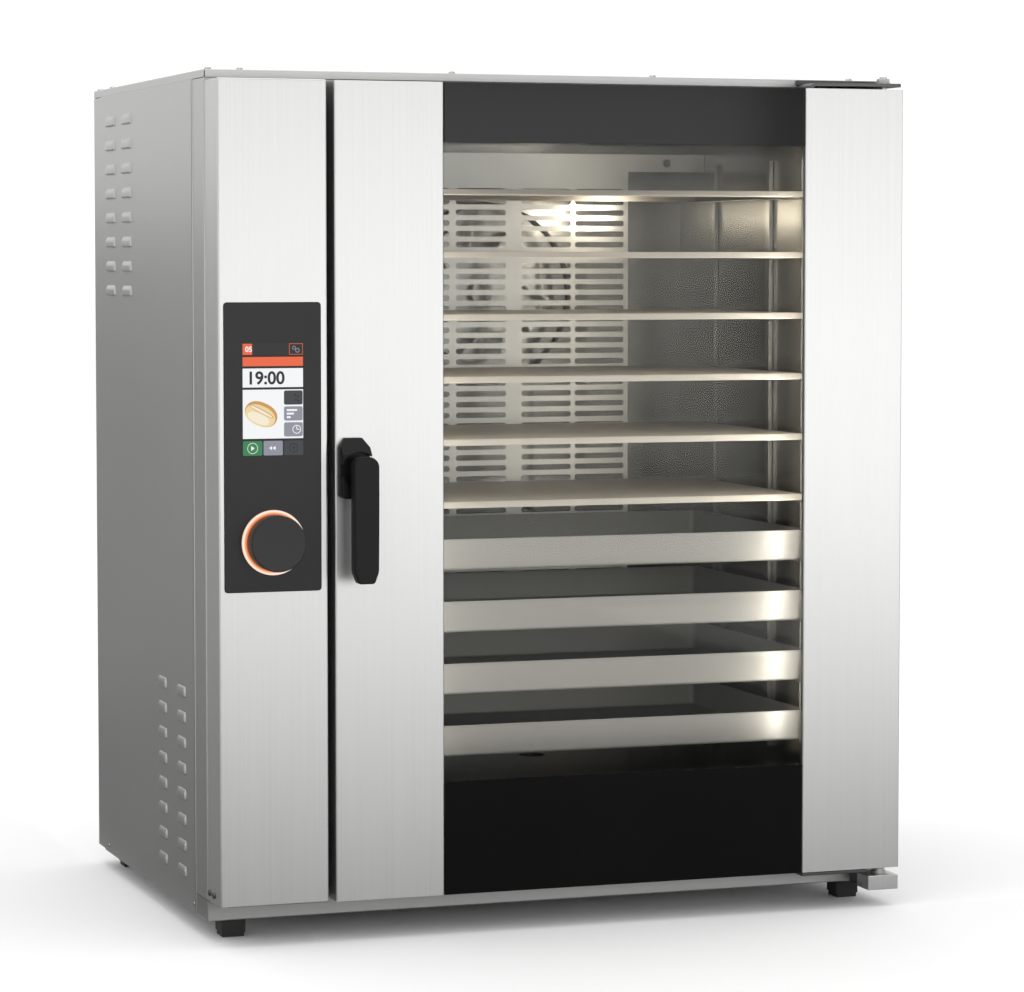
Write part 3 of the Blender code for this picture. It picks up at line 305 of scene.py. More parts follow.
def round_folds(bm, low, high, skip, radius):
    """Rounds the outer edges along which a folded sheet was bent."""
    faces = {face for face in bm.faces if on_box(face, low, high, skip)}
    folds = [
        edge for edge in bm.edges
        if len(edge.link_faces) == 2
        and all(face in faces for face in edge.link_faces)
        and edge.calc_face_angle(0) > 1
    ]
    bevel(bm, folds, radius, 4)


# Materials


def new_material(name):
    made = bpy.data.materials.new(name)
    made.use_nodes = True
    return made, made.node_tree.nodes


def join(start, output, end, socket):
    """Links two nodes by the names, or the numbers, of their sockets."""
    start.id_data.links.new(start.outputs[output], end.inputs[socket])


def set_inputs(node, **values):
    for socket, value in values.items():
        node.inputs[socket.replace("_", " ")].default_value = value


def add_node(nodes, kind, **values):
    made = nodes.new(f"ShaderNode{kind}")
    set_inputs(made, **values)
    return made


def surface(
    name, colour, metallic, roughness, grain, tone=0.06, gloss=0.05, bump=0.10, depth=0.0002, **sockets
):
    """A surface whose grain is noise stretched by grain, in cells per metre along x, y and z.

    The colour varies by tone, as a share, and the roughness by gloss. The relief is depth deep.
    """
    made, nodes = new_material(name)
    shader = nodes["Principled BSDF"]
    set_inputs(shader, Metallic=metallic, **sockets)
    place = add_node(nodes, "TexCoord")
    stretch = add_node(nodes, "Mapping", Scale=grain)
    join(place, "Object", stretch, "Vector")
    fine = add_node(nodes, "TexNoise", Scale=1, Detail=4)
    join(stretch, "Vector", fine, "Vector")
    broad = add_node(nodes, "TexNoise", Scale=5, Detail=2)
    join(place, "Object", broad, "Vector")
    both = add_node(nodes, "Mix", Factor=0.35)
    join(fine, "Fac", both, "A")
    join(broad, "Fac", both, "B")
    tint = add_node(nodes, "Mix")
    tint.data_type = "RGBA"
    darker = [value * (1 - 2 * tone) for value in colour]
    lighter = [min(value * (1 + 2 * tone), 1) for value in colour]
    set_inputs(tint, A=(*darker, 1), B=(*lighter, 1))
    join(both, "Result", tint, "Factor")
    join(tint, "Result", shader, "Base Color")
    rough = add_node(nodes, "MapRange", To_Min=roughness - gloss, To_Max=roughness + gloss)
    join(both, "Result", rough, "Value")
    join(rough, "Result", shader, "Roughness")
    relief = add_node(nodes, "Bump", Strength=bump, Distance=depth)
    join(fine, "Fac", relief, "Height")
    join(relief, "Normal", shader, "Normal")
    return made


UPRIGHT_GRAIN = (420, 420, 3)
LEVEL_GRAIN = (3, 420, 420)
FINE_GRAIN = (1500, 1500, 1500)


def brushed_steel():
    return surface("brushed_steel", (0.57, 0.57, 0.565), 1, 0.42, UPRIGHT_GRAIN, tone=0.05, bump=0.06)


# Steel with a level grain for the lid, its tone set darker than the brushed steel: painted shade on the
# lid.
def level_steel():
    return surface("level_steel", (0.49, 0.49, 0.485), 1, 0.42, LEVEL_GRAIN, tone=0.05, bump=0.06)


# A darker copy of the level steel for the base: painted shade, since the base's front mirrors the dark
# floor.
def shaded_base_steel():
    return surface("shaded_base_steel", (0.35, 0.35, 0.345), 1, 0.42, LEVEL_GRAIN, tone=0.05, bump=0.06)


# A darker copy of the brushed steel for the sides, the rear, the hoods and the front frame: painted shade
# on faces turned from the lamps.
def side_steel():
    return surface("side_steel", (0.46, 0.46, 0.455), 1, 0.40, UPRIGHT_GRAIN, tone=0.04, bump=0.05)


def cavity_steel():
    return surface("cavity_steel", (0.42, 0.415, 0.405), 1, 0.24, UPRIGHT_GRAIN, tone=0.06, bump=0.05)


# A much lighter copy of the cavity's steel for the baffle: painted light, as the baffle faces the door's
# lamps.
def lit_baffle_steel():
    return surface("lit_baffle_steel", (0.80, 0.79, 0.77), 1, 0.36, UPRIGHT_GRAIN, tone=0.05, bump=0.05)


def tray_metal():
    return surface("tray_metal", (0.46, 0.457, 0.45), 0.6, 0.50, LEVEL_GRAIN, tone=0.05, bump=0.10)


# A cream, brighter copy of the tray metal for the flat trays: painted warm lamplight on their edges.
def sheet_metal():
    return surface("sheet_metal", (0.88, 0.83, 0.76), 0.5, 0.45, LEVEL_GRAIN, tone=0.05, bump=0.08)


def fitting_steel():
    return surface("fitting_steel", (0.58, 0.58, 0.57), 1, 0.24, (500, 500, 500), tone=0.04, bump=0.05)


def dark_steel():
    return surface("dark_steel", (0.10, 0.10, 0.10), 0.9, 0.42, (700, 700, 700), tone=0.12, bump=0.12)


def black_plastic():
    return surface(
        "black_plastic", (0.014, 0.014, 0.014), 0, 0.42, FINE_GRAIN, tone=0.15, bump=0.25,
        Specular_IOR_Level=0.3,
    )


def handle_plastic():
    return surface(
        "handle_plastic", (0.005, 0.005, 0.005), 0, 0.40, FINE_GRAIN, tone=0.15, bump=0.12,
        Specular_IOR_Level=0.15,
    )


def control_glass():
    return surface(
        "control_glass", (0.009, 0.009, 0.009), 0, 0.30, (60, 60, 60), tone=0.06, bump=0.01,
        Specular_IOR_Level=0.2,
    )


def black_rubber():
    return surface("black_rubber", (0.008, 0.008, 0.008), 0, 0.70, (900, 900, 900), tone=0.2, bump=0.35)


def mineral_wool():
    return surface(
        "mineral_wool", (0.52, 0.46, 0.28), 0, 0.95, (260, 260, 1400), tone=0.25, bump=0.9, depth=0.002
    )


def circuit_board():
    return surface("circuit_board", (0.02, 0.16, 0.06), 0, 0.45, (900, 160, 900), tone=0.30, bump=0.30)


def brass():
    return surface("brass", (0.66, 0.47, 0.20), 1, 0.30, (600, 600, 600), tone=0.07, bump=0.15)


def screw_steel():
    return surface("screw_steel", (0.42, 0.42, 0.41), 1, 0.30, (800, 800, 800), tone=0.05, bump=0.08)


def printed_black():
    return surface(
        "printed_black", (0.0045, 0.0045, 0.0045), 0, 0.09, (9, 9, 9), tone=0.10, gloss=0.02, bump=0.01,
        Specular_IOR_Level=0.17,
    )


def clear_glass():
    """A pane that lets straight through all that it doesn't mirror, and mirrors more edge-on."""
    made, nodes = new_material("clear_glass")
    nodes.remove(nodes["Principled BSDF"])
    through = add_node(nodes, "BsdfTransparent", Color=(0.895, 0.90, 0.895, 1))
    mirror = add_node(nodes, "BsdfGlossy", Color=(0.36, 0.36, 0.35, 1), Roughness=0.03)
    slant = add_node(nodes, "LayerWeight", Blend=0.5)
    steep = add_node(nodes, "Math")
    steep.operation = "POWER"
    steep.inputs[1].default_value = 5
    join(slant, "Facing", steep, 0)
    edge_on, face_on = 0.92, 0.012
    share = add_node(nodes, "Math")
    share.operation = "MULTIPLY_ADD"
    share.inputs[1].default_value = edge_on
    share.inputs[2].default_value = face_on
    join(steep, "Value", share, 0)
    mix = add_node(nodes, "MixShader")
    join(share, "Value", mix, "Fac")
    join(through, "BSDF", mix, 1)
    join(mirror, "BSDF", mix, 2)
    join(mix, "Shader", nodes["Material Output"], "Surface")
    return made


def glowing(name, colour, strength, grain=(4000, 4000, 4000), tone=0.03):
    """A lit surface with a faint fine pattern."""
    made = surface(name, colour, 0, 0.30, grain, tone=tone, bump=0.02)
    links = made.node_tree.links
    shader = made.node_tree.nodes["Principled BSDF"]
    tint = shader.inputs["Base Color"].links[0]
    links.new(tint.from_socket, shader.inputs["Emission Color"])
    links.remove(tint)
    set_inputs(
        shader, Base_Color=(0.01, 0.01, 0.01, 1), Emission_Strength=strength, Specular_IOR_Level=0.15
    )
    return made


def glow_plastic():
    """Deep orange beside the knob, near white past the middle, and peach at the rim."""
    made = glowing("glow_plastic", (1.0, 0.80, 0.70), 1.0)
    nodes = made.node_tree.nodes
    outer = half_width_of("glow_ring")
    from_centre = add_node(nodes, "VectorMath")
    from_centre.operation = "DISTANCE"
    from_centre.inputs[1].default_value = middle_of("glow_ring")
    join(add_node(nodes, "TexCoord"), "Object", from_centre, 0)
    spread = add_node(nodes, "MapRange", From_Min=outer * 0.86, From_Max=outer)
    join(from_centre, "Value", spread, "Value")
    ramp = add_node(nodes, "ValToRGB")
    join(spread, "Result", ramp, "Fac")
    first, last = ramp.color_ramp.elements
    first.color, last.color = (0.75, 0.14, 0.03, 1), (0.90, 0.58, 0.45, 1)
    stops = ((0.36, (0.95, 0.36, 0.14, 1)), (0.62, (1.0, 0.78, 0.64, 1)), (0.84, (1.0, 0.88, 0.78, 1)))
    for position, colour in stops:
        ramp.color_ramp.elements.new(position).color = colour
    join(ramp, "Color", nodes["Principled BSDF"], "Emission Color")
    return made


def lamp_cover():
    return glowing("lamp_cover", (1.0, 0.80, 0.56), 5.0, grain=(200, 200, 60), tone=0.04)


MAKERS = {
    maker.__name__: maker
    for maker in (
        brushed_steel, level_steel, shaded_base_steel, side_steel, cavity_steel, lit_baffle_steel, tray_metal,
        sheet_metal, fitting_steel, dark_steel, black_plastic, handle_plastic, control_glass,
        glow_plastic, clear_glass, lamp_cover, black_rubber, mineral_wool, circuit_board, brass,
        screw_steel, printed_black,
    )
}
finishes = {}


def finish(name):
    if name not in finishes:
        finishes[name] = MAKERS[name]()
    return finishes[name]


def dress_nodes():
    """Gives each CAD node the material of its slot in the record."""
    for part in frame["record"]["subparts"]:
        node = frame["nodes"][part["node"]]
        node.data.materials.clear()
        node.data.materials.append(finish(part["material_slot"]))


# Pieces


pieces = []


def piece(name, bm, slot, replaces=(), body="housing", material=None, smooth=35):
    """One named piece of the visual model, riding on a body. Its look is its slot's unless named."""
    mesh = new_mesh(name, bm)
    if not isinstance(material, bpy.types.Material):
        material = finish(material or slot)
    mesh.materials.append(material)
    mesh.shade_smooth()
    mesh.set_sharp_from_angle(angle=math.radians(smooth))
    made = new_object(name, mesh)
    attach(made, body)
    if replaces:
        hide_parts(*replaces)
    pieces.append(made)
    return made


def keep_flats_flat():
    """Lets each piece's large faces, not its narrow rounded edges, set the shading."""
    for made in pieces:
        weights = made.modifiers.new("weights", "WEIGHTED_NORMAL")
        weights.keep_sharp = True


def folded(name, node, slot, skip, radius=FOLD_RADIUS, body="housing", material=None):
    """A folded sheet: the node's own shape, with round folds on every side but the open one."""
    bm = copy_of_node(node)
    low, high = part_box(node)
    round_folds(bm, low, high, skip, radius)
    return piece(name, bm, slot, (node,), body, material)


def softened(name, node, slot, radius, body="housing"):
    """The node's own shape with all its sharp edges broken."""
    bm = copy_of_node(node)
    sharp = [
        edge for edge in bm.edges
        if len(edge.link_faces) == 2 and edge.calc_face_angle(0) > SHARP
    ]
    bevel(bm, sharp, radius, clamp_overlap=True)
    return piece(name, bm, slot, (node,), body)


# The body's shell


def make_shell():
    # The base and the front frame take darker copies of the front's steel: painted shade.
    folded("base_sheet", "base_tray", "brushed_steel", "+Z", material="shaded_base_steel")
    folded("front_frame_sheet", "front_frame", "brushed_steel", "+Y", material="side_steel")
    folded("right_side_sheet", "right_side_panel", "side_steel", "-X", 0.0012)
    folded("rear_cover_sheet", "rear_cover", "side_steel", "-Y", 0.0020)


def add_hood(bm, y, top, width):
    """One louvre hood, from its closed top, where it swells, down to its open lower edge."""
    steps, across = 6, 14
    swell, narrowing = 0.45, 0.12
    rings = []
    for row in range(steps + 1):
        share = row / steps
        rise = math.sin(min(share / swell, 1) * math.pi / 2)
        z = top - HOOD_HEIGHT * share
        ring = []
        for k in range(across + 1):
            u = 2 * k / across - 1
            out = rise * (1 - abs(u) ** 6) ** 0.5
            aside = u * (1 - (1 - share) ** 2 * narrowing * abs(u) ** 6)
            ring.append(bm.verts.new(at(-SIDE_PROUD - HOOD_REACH * out, y + aside * width / 2, z)))
        rings.append(ring)
    for ring, following in zip(rings, rings[1:]):
        for k in range(across):
            bm.faces.new((ring[k], ring[k + 1], following[k + 1], following[k]))


def louvres():
    """(y, top z, width) of each louvre in the left panel: a group high up, and one low in front."""
    rows, pitch = 8, 0.0335
    high_group = ((0.423, 0.521), 1.0375, 0.056)
    low_group = ((0.126, 0.2296), 0.2875, 0.045)
    return [
        (y, highest - row * pitch, width)
        for columns, highest, width in (high_group, low_group)
        for y in columns
        for row in range(rows)
    ]


def make_left_side():
    """The left panel stands a little proud of the frame in front of it, so its fold catches light."""
    low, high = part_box("left_side_panel")
    outer, inner = BODY.x - SIDE_PROUD, BODY.x + SHEET
    margin, lift, slot_height = 0.004, 0.0015, 0.006
    holes = []
    for y, top, width in louvres():
        half = width / 2 - margin
        bottom = at(0, 0, top - HOOD_HEIGHT + lift).z
        ends = (BODY.y + y - half, bottom), (BODY.y + y + half, bottom + slot_height)
        holes.append(rounded_rectangle(*ends, 0.002, 2))
    edge = FOLD_RADIUS
    outline = [(low.y + edge, low.z), (high.y, low.z), (high.y, high.z), (low.y + edge, high.z)]
    bm = bmesh.new()
    add_plate(bm, outline, holes, "X", outer, inner)
    fold = arc((outer + edge, low.y + edge), edge, 270, 180, 5)
    fold += [(outer, low.y + edge + SHEET), (inner, low.y + edge + SHEET), (inner, low.y)]
    add_prism(bm, fold, "Z", low.z, high.z)
    piece("left_side_sheet", bm, "side_steel", ("left_side_panel",))
    bm = bmesh.new()
    for y, top, width in louvres():
        add_hood(bm, y, top, width)
    hoods = piece("left_side_hoods", bm, "side_steel", smooth=60)
    wall = hoods.modifiers.new("wall", "SOLIDIFY")
    wall.thickness = 0.0009
    wall.offset = -1


def make_lid():
    """The lid's top, holed for the vent, and its four folded skirts, open at the corners."""
    low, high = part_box("top_cover")
    notch, lap = 0.0022, 0.0001
    vent = middle_of("exhaust_collar")
    hole = circle((vent.x, vent.y), half_width_of("exhaust_collar") + 0.001, 48)
    bm = bmesh.new()
    add_plate(bm, rectangle(low, high, notch), [hole], "Z", high.z, high.z - SHEET)
    skirts = (
        ("X", low.x + notch, high.x - notch, low.y, 1),
        ("X", low.x + notch, high.x - notch, high.y, -1),
        ("Y", low.y + notch, high.y - notch, low.x, 1),
        ("Y", low.y + notch, high.y - notch, high.x, -1),
    )
    drop = low.z - high.z
    profile = [(notch + lap, 0), *arc((FOLD_RADIUS, -FOLD_RADIUS), FOLD_RADIUS, 90, 180, 5)]
    profile += [(0, drop), (SHEET, drop), (SHEET, -notch), (notch + lap, -SHEET)]
    for axis, start, end, face, inward in skirts:
        add_prism(bm, [(face + inward * a, high.z + b) for a, b in profile], axis, start, end)
    piece("lid_sheet", bm, "brushed_steel", ("top_cover",), material="level_steel")


def make_body_screws():
    width, depth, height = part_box("top_cover")[1] - BODY
    inset, middle_row = 0.008, 0.544
    places = [(x, y) for x in (inset, 0.049, 0.330, 0.607, width - 0.047) for y in (inset, depth - inset)]
    places += [(inset, middle_row), (width - inset, middle_row)]
    bm = bmesh.new()
    for x, y in places:
        add_screw(bm, at(x, y, height), (0, 0, 1), PANEL_SCREW)
    for y, z in ((0.557, 0.010), (0.065, 0.012)):
        add_screw(bm, at(0, y, z), (-1, 0, 0), SMALL_SCREW)
        add_screw(bm, at(width, y, z), (1, 0, 0), SMALL_SCREW)
    for x in (0.012, 0.320, 0.615, width - 0.012):
        for z in (0.014, 0.530, 1.050):
            add_screw(bm, at(x, depth, z), (0, 1, 0), PANEL_SCREW)
    piece("body_screws", bm, "fitting_steel", material="screw_steel")
    bm = bmesh.new()
    for y in (-0.033, -0.011):
        add_screw(bm, at(FASCIA_STEP, y, 0.039), (-1, 0, 0), PANEL_SCREW)
    piece("column_screws", bm, "fitting_steel", material="dark_steel")


def make_feet():
    """Each foot's rubber block, on a slightly narrower sole."""
    tuck, sole_share, lap = 0.0016, 0.22, 0.001
    for name in ("front_left", "front_right", "rear_left", "rear_right"):
        low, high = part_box(f"foot_{name}")
        sole = low.z + (high.z - low.z) * sole_share
        bm = bmesh.new()
        add_soft_block(bm, (low.x, low.y, sole), high, 0.0012)
        top = (high.x - tuck, high.y - tuck, sole + lap)
        add_soft_block(bm, (low.x + tuck, low.y + tuck, low.z), top, 0.0008)
        piece(f"foot_{name}_block", bm, "black_rubber", (f"foot_{name}",))


# The control column


def make_fascia():
    low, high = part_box("control_fascia")
    bm = copy_of_node("control_fascia")
    for vert in bm.verts:
        if vert.co.x < low.x + 2 * SHEET:
            vert.co.x += FASCIA_STEP
    round_folds(bm, low + Vector((FASCIA_STEP, 0, 0)), high, "+Y", 0.0022)
    piece("fascia_sheet", bm, "brushed_steel", ("control_fascia",))
    softened("control_glass_pane", "control_glass", "control_glass", 0.0006)


SCREEN_WIDTH = 0.0778
SCREEN_ROWS = (
    ("header", 0.0148), ("prompt", 0.0114), ("clock", 0.0236), ("picture", 0.0612), ("keys", 0.0182),
)
ROW_GAP = 0.0028
LAYER = 0.00012


def screen_places():
    """Each row of the screen as (left, bottom, right, top), from the display's own box."""
    low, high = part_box("display_module")
    left = low.x + 0.0074
    top = high.z - 0.0096
    places = {}
    for name, height in SCREEN_ROWS:
        places[name] = (left, top - height, left + SCREEN_WIDTH, top)
        top -= height + ROW_GAP
    return places


class Screen:
    """Collects the flat shapes of the display, one mesh for each colour, in thin layers."""

    def __init__(self, front):
        self.front = front
        self.meshes = {}

    def place(self, colour, layer):
        """The mesh that takes a colour, and where a layer's back and face are."""
        if colour not in self.meshes:
            self.meshes[colour] = bmesh.new()
        face = self.front - layer * LAYER
        return self.meshes[colour], face + LAYER * 0.9, face

    def shape(self, colour, outline, layer):
        bm, back, face = self.place(colour, layer)
        add_prism(bm, outline, "Y", back, face)

    def field(self, colour, box, layer, radius=0.0004):
        left, bottom, right, top = box
        self.shape(colour, rounded_rectangle((left, bottom), (right, top), radius, 3), layer)

    def ring(self, colour, centre, radius, width, layer):
        bm, back, face = self.place(colour, layer)
        inner = radius - width
        profile = ((inner, back), (radius, back), (radius, face), (inner, face))
        add_turned(bm, profile, (centre[0], 0, centre[1]), "Y", 32, loop=True)

    def triangle(self, colour, centre, size, layer, way=1):
        x, z = centre
        base = x - way * size * 0.5
        self.shape(colour, [(x + way * size, z), (base, z + size), (base, z - size)], layer)


def screen_colours():
    black = (0.004, 0.004, 0.004)
    return {
        "bezel": surface(
            "screen_bezel", black, 0, 0.25, FINE_GRAIN, tone=0.05, bump=0.01, Specular_IOR_Level=0.2
        ),
        "dark": glowing("screen_dark", (0.022, 0.022, 0.022), 0.6),
        "slate": glowing("screen_slate", (0.055, 0.060, 0.068), 0.7),
        "white": glowing("screen_white", (0.92, 0.93, 0.94), 0.95),
        "orange": glowing("screen_orange", (0.84, 0.13, 0.045), 0.95),
        "green": glowing("screen_green", (0.030, 0.22, 0.080), 0.95),
        "grey": glowing("screen_grey", (0.27, 0.28, 0.34), 0.95),
        "crust": glowing("screen_crust", (0.66, 0.33, 0.09), 0.9),
        "crumb": glowing("screen_crumb", (0.86, 0.68, 0.36), 0.95),
        "flour": glowing("screen_flour", (0.93, 0.84, 0.66), 0.95),
    }


def draw_header(screen, box):
    """A tile for the level's number on the left, and a framed pair of rings on the right."""
    left, bottom, right, top = box
    tile, icon, rim, margin = 0.0122, 0.0178, 0.0006, 0.0002
    top_edge = top - 0.001
    screen.field("dark", box, 1)
    screen.field("orange", (left, bottom, left + tile, top_edge), 2)
    start, end = right - icon, right - margin
    screen.field("orange", (start, bottom, end, top_edge), 2)
    screen.field("dark", (start + rim, bottom + rim, end - rim, top_edge - rim), 3)
    middle = (bottom + top) / 2
    screen.ring("grey", (start + 0.0062, middle + 0.001), 0.0024, 0.0008, 4)
    screen.ring("grey", (start + 0.0106, middle - 0.0022), 0.0028, 0.0009, 4)


def roll_outline(centre, length, height, tilt):
    """The outline of a long bread roll: an ellipse with full sides, tilted."""
    points = []
    turn = math.radians(tilt)
    for a, b in circle((0, 0), 1, 36):
        along_it = math.copysign(abs(a) ** 0.85, a) * length / 2
        across_it = math.copysign(abs(b) ** 0.95, b) * height / 2
        points.append((
            centre[0] + along_it * math.cos(turn) - across_it * math.sin(turn),
            centre[1] + along_it * math.sin(turn) + across_it * math.cos(turn),
        ))
    return points


def draw_roll(screen, centre):
    x, z = centre
    tilt = -24
    screen.shape("crust", roll_outline((x, z), 0.0435, 0.0290, tilt), 2)
    screen.shape("crumb", roll_outline((x - 0.0012, z - 0.0018), 0.0405, 0.0245, tilt), 3)
    screen.shape("flour", roll_outline((x - 0.0035, z - 0.0052), 0.0300, 0.0125, tilt), 4)
    screen.shape("crust", roll_outline((x + 0.0005, z + 0.0035), 0.0350, 0.0052, tilt - 4), 4)
    screen.shape("flour", roll_outline((x + 0.0003, z + 0.0034), 0.0325, 0.0034, tilt - 4), 5)


def draw_picture(screen, box):
    """A bread roll on white, beside three keys that show dots, bars and a dial."""
    left, bottom, right, top = box
    screen.field("white", box, 1)
    draw_roll(screen, (left + 0.0235, (bottom + top) / 2))
    gap, height = 0.0021, 0.0178
    key_left, key_right = right - 0.0248, right - 0.0006
    middle = (key_left + key_right) / 2
    first = top - 0.0014 - height / 2
    second, third = first - height - gap, first - 2 * (height + gap)
    for colour, z in (("slate", first), ("grey", second), ("grey", third)):
        screen.field(colour, (key_left, z - height / 2, key_right, z + height / 2), 2, 0.0022)
    for dx, dz in ((0.002, 0.003), (0.006, 0.001), (0.003, -0.003), (0.0065, -0.0045)):
        screen.ring("dark", (middle + dx, first + dz), 0.0014, 0.0009, 3)
    bar_left, half = key_left + 0.0035, 0.0012
    for row in range(3):
        z = second + 0.0042 - row * 0.0044
        bar_right = bar_left + 0.0135 - row * 0.0042
        screen.field("white", (bar_left, z - half, bar_right, z + half), 3)
    x, z, hand = key_right - 0.0078, third, 0.0005
    screen.ring("white", (x, z), 0.0055, 0.0009, 3)
    screen.field("white", (x - hand, z, x + hand, z + 0.0040), 3)
    screen.field("white", (x, z - hand, x + 0.0034, z + hand), 3)


def draw_keys(screen, box):
    """Three keys along the foot of the screen: start, back and a target."""
    left, bottom, right, top = box
    gap = 0.0016
    width = (right - left - 2 * gap) / 3
    z = (bottom + top) / 2
    start, back, last = (left + width / 2 + k * (width + gap) for k in range(3))
    for colour, x in (("green", start), ("grey", back), ("slate", last)):
        screen.field(colour, (x - width / 2, bottom, x + width / 2, top), 2, 0.0016)
    screen.ring("white", (start, z), 0.0068, 0.0006, 3)
    screen.triangle("white", (start - 0.0004, z), 0.0030, 3)
    for shift in (-0.0028, 0.0018):
        screen.triangle("white", (back + shift, z), 0.0026, 3, way=-1)
    for radius, thick in ((0.0058, 0.0011), (0.0018, 0.0018)):
        screen.ring("dark", (last, z), radius, thick, 3)


def draw_digits(name, digits, material, size, place, bold):
    """Plain numerals, thickened by bold."""
    text = bpy.data.curves.new(name, "FONT")
    text.body = digits
    text.size = size
    text.extrude = LAYER / 2
    text.offset = bold
    flat = new_object(f"{name}_flat", text)
    bpy.context.view_layer.update()
    mesh = bpy.data.meshes.new_from_object(flat)
    bpy.data.objects.remove(flat)
    upright = Matrix.Rotation(math.radians(90), 4, "X")
    mesh.transform(Matrix.Translation(place) @ upright)
    bm = bmesh.new()
    bm.from_mesh(mesh)
    piece(name, bm, "control_glass", material=material)


def make_screen():
    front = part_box("control_glass")[0].y - SKIN_GAP / 2
    screen = Screen(front)
    places = screen_places()
    edge = 0.0028
    left, bottom = places["keys"][0] - edge, places["keys"][1] - edge
    right, top = places["header"][2] + edge, places["header"][3] + edge
    screen.field("bezel", (left, bottom, right, top), 0)
    draw_header(screen, places["header"])
    screen.field("orange", places["prompt"], 1)
    screen.field("white", places["clock"], 1)
    draw_picture(screen, places["picture"])
    draw_keys(screen, places["keys"])
    colours = screen_colours()
    for name, bm in screen.meshes.items():
        piece(f"screen_{name}_areas", bm, "control_glass", material=colours[name])
    face = front - 3 * LAYER
    left, bottom = places["clock"][:2]
    ink = glowing("screen_ink", (0.03, 0.03, 0.035), 0.4)
    place = Vector((left + 0.0048, face, bottom + 0.0042))
    draw_digits("clock_digits", "19:00", ink, 0.0222, place, 0.00055)
    left, bottom = places["header"][:2]
    place = Vector((left + 0.0032, face, bottom + 0.0038))
    draw_digits("level_digits", "05", colours["white"], 0.0092, place, 0.0002)


def make_glow_ring():
    low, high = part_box("glow_ring")
    centre, outer = middle_of("glow_ring"), half_width_of("glow_ring")
    band, edge = 0.013, 0.0012
    inner = outer - band
    profile = [(inner, high.y), (outer, high.y)]
    profile += [(outer - edge + a, low.y + edge - b) for a, b in arc((0, 0), edge, 0, 90, 4)]
    profile += [(inner + edge, low.y), (inner, low.y + edge)]
    bm = bmesh.new()
    add_turned(bm, profile, (centre.x, 0, centre.z), "Y", 96, loop=True)
    piece("glow_ring_guide", bm, "glow_plastic", ("glow_ring",))


def make_knob():
    """The knob's cap, with a rounded front edge, a slightly dished face and a blind hole behind."""
    low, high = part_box("knob")
    centre, radius = middle_of("knob"), half_width_of("knob")
    edge, chamfer, dish, hole = 0.0014, 0.0012, 0.0004, 0.0035
    front, back = low.y, high.y
    profile = [(hole, back - 0.004), (hole, back), (radius - chamfer, back), (radius, back - chamfer)]
    profile += [(radius, front + edge)]
    profile += [(radius - edge + a, front + edge - b) for a, b in arc((0, 0), edge, 15, 90, 4)]
    profile += [(radius * 0.86, front + dish * 0.3), (radius * 0.5, front + dish * 0.8), (0, front + dish)]
    bm = bmesh.new()
    add_turned(bm, profile, (centre.x, 0, centre.z), "Y", 96)
    piece("knob_cap_turned", bm, "black_plastic", ("knob",), "knob_cap")


# The door


def stile_outline(low, high, flip):
    """An open channel in plan: a short return at the pane, the front and the outer wall."""
    radius, lip = 0.0022, 0.0065
    points = [(low.x, low.y + lip)]
    points += arc((low.x + radius, low.y + radius), radius, 180, 270, 5)
    points += arc((high.x - radius, low.y + radius), radius, 270, 360, 5)
    points += [(high.x, high.y), (high.x - SHEET, high.y), (high.x - SHEET, low.y + SHEET)]
    points += [(low.x + SHEET, low.y + SHEET), (low.x + SHEET, low.y + lip)]
    if flip:
        points = [(low.x + high.x - x, y) for x, y in points]
    return points


def make_stile(side, hole):
    """A door stile with its end plates, which take the hinge's pins on the right."""
    low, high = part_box(f"door_{side}_stile")
    bm = bmesh.new()
    add_prism(bm, stile_outline(low, high, side == "left"), "Z", low.z, high.z)
    for start, end in ((low.z, low.z + SHEET), (high.z - SHEET, high.z)):
        plate = bmesh.new()
        add_plate(plate, rectangle(low, high, SHEET * 0.9), [hole] if hole else [], "Z", start, end)
        bm.from_mesh(new_mesh("end_plate", plate))
    return piece(f"door_{side}_sheet", bm, "brushed_steel", (f"door_{side}_stile",), "door")


def make_door_sheets():
    pin, spindle = middle_of("hinge_pin_top"), middle_of("latch_spindle")
    make_stile("right", circle((pin.x, pin.y), 0.0056, 32))
    left = make_stile("left", None)
    bore = 0.0085
    front = corner_of("door_left_stile").y
    bm = bmesh.new()
    add_turned(bm, [(bore, front - 0.005), (bore, front + 0.010)], (spindle.x, 0, spindle.z), "Y", 40)
    opening = left.modifiers.new("spindle_hole", "BOOLEAN")
    opening.use_self = True
    opening.object = helper("spindle_hole_cutter", bm)
    folded("door_back_sheet", "door_back_frame", "cavity_steel", "-Y", 0.0010, "door")


def make_door_glass():
    """The inner pane, and the outer one in its clear stretch and its two blackened bands."""
    softened("door_inner_pane", "door_inner_glass", "clear_glass", 0.0006, "door")
    low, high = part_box("door_outer_glass")
    lower, upper = low.z + LOWER_BAND, high.z - UPPER_BAND
    edge = 0.0008
    outline = [
        (low.x, high.y), (low.x, low.y + edge), (low.x + edge, low.y),
        (high.x - edge, low.y), (high.x, low.y + edge), (high.x, high.y),
    ]
    stretches = (
        ("door_outer_pane", "clear_glass", "clear_glass", ("door_outer_glass",), lower, upper),
        ("door_band_upper", "printed_black", "control_glass", (), upper, high.z),
        ("door_band_lower", "printed_black", "control_glass", (), low.z, lower),
    )
    for name, material, slot, replaces, bottom, top in stretches:
        bm = bmesh.new()
        add_prism(bm, outline, "Z", bottom, top)
        piece(name, bm, slot, replaces, "door", material)


def light_trays(side, inward, lens):
    """The lamp's own light, which swings with the door."""
    low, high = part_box(f"lamp_strip_{side}")
    middle = (low + high) / 2
    place = Vector((middle.x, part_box("door_inner_glass")[1].y + 0.004, middle.z))
    target = place + Vector((inward * 0.5, 0.8, 0))
    size = (0.012, high.z - low.z)
    light = add_softbox(f"lamp_light_{side}", place, target, size, TRAY_LAMPS, (1, 0.94, 0.86))
    light.parent = lens


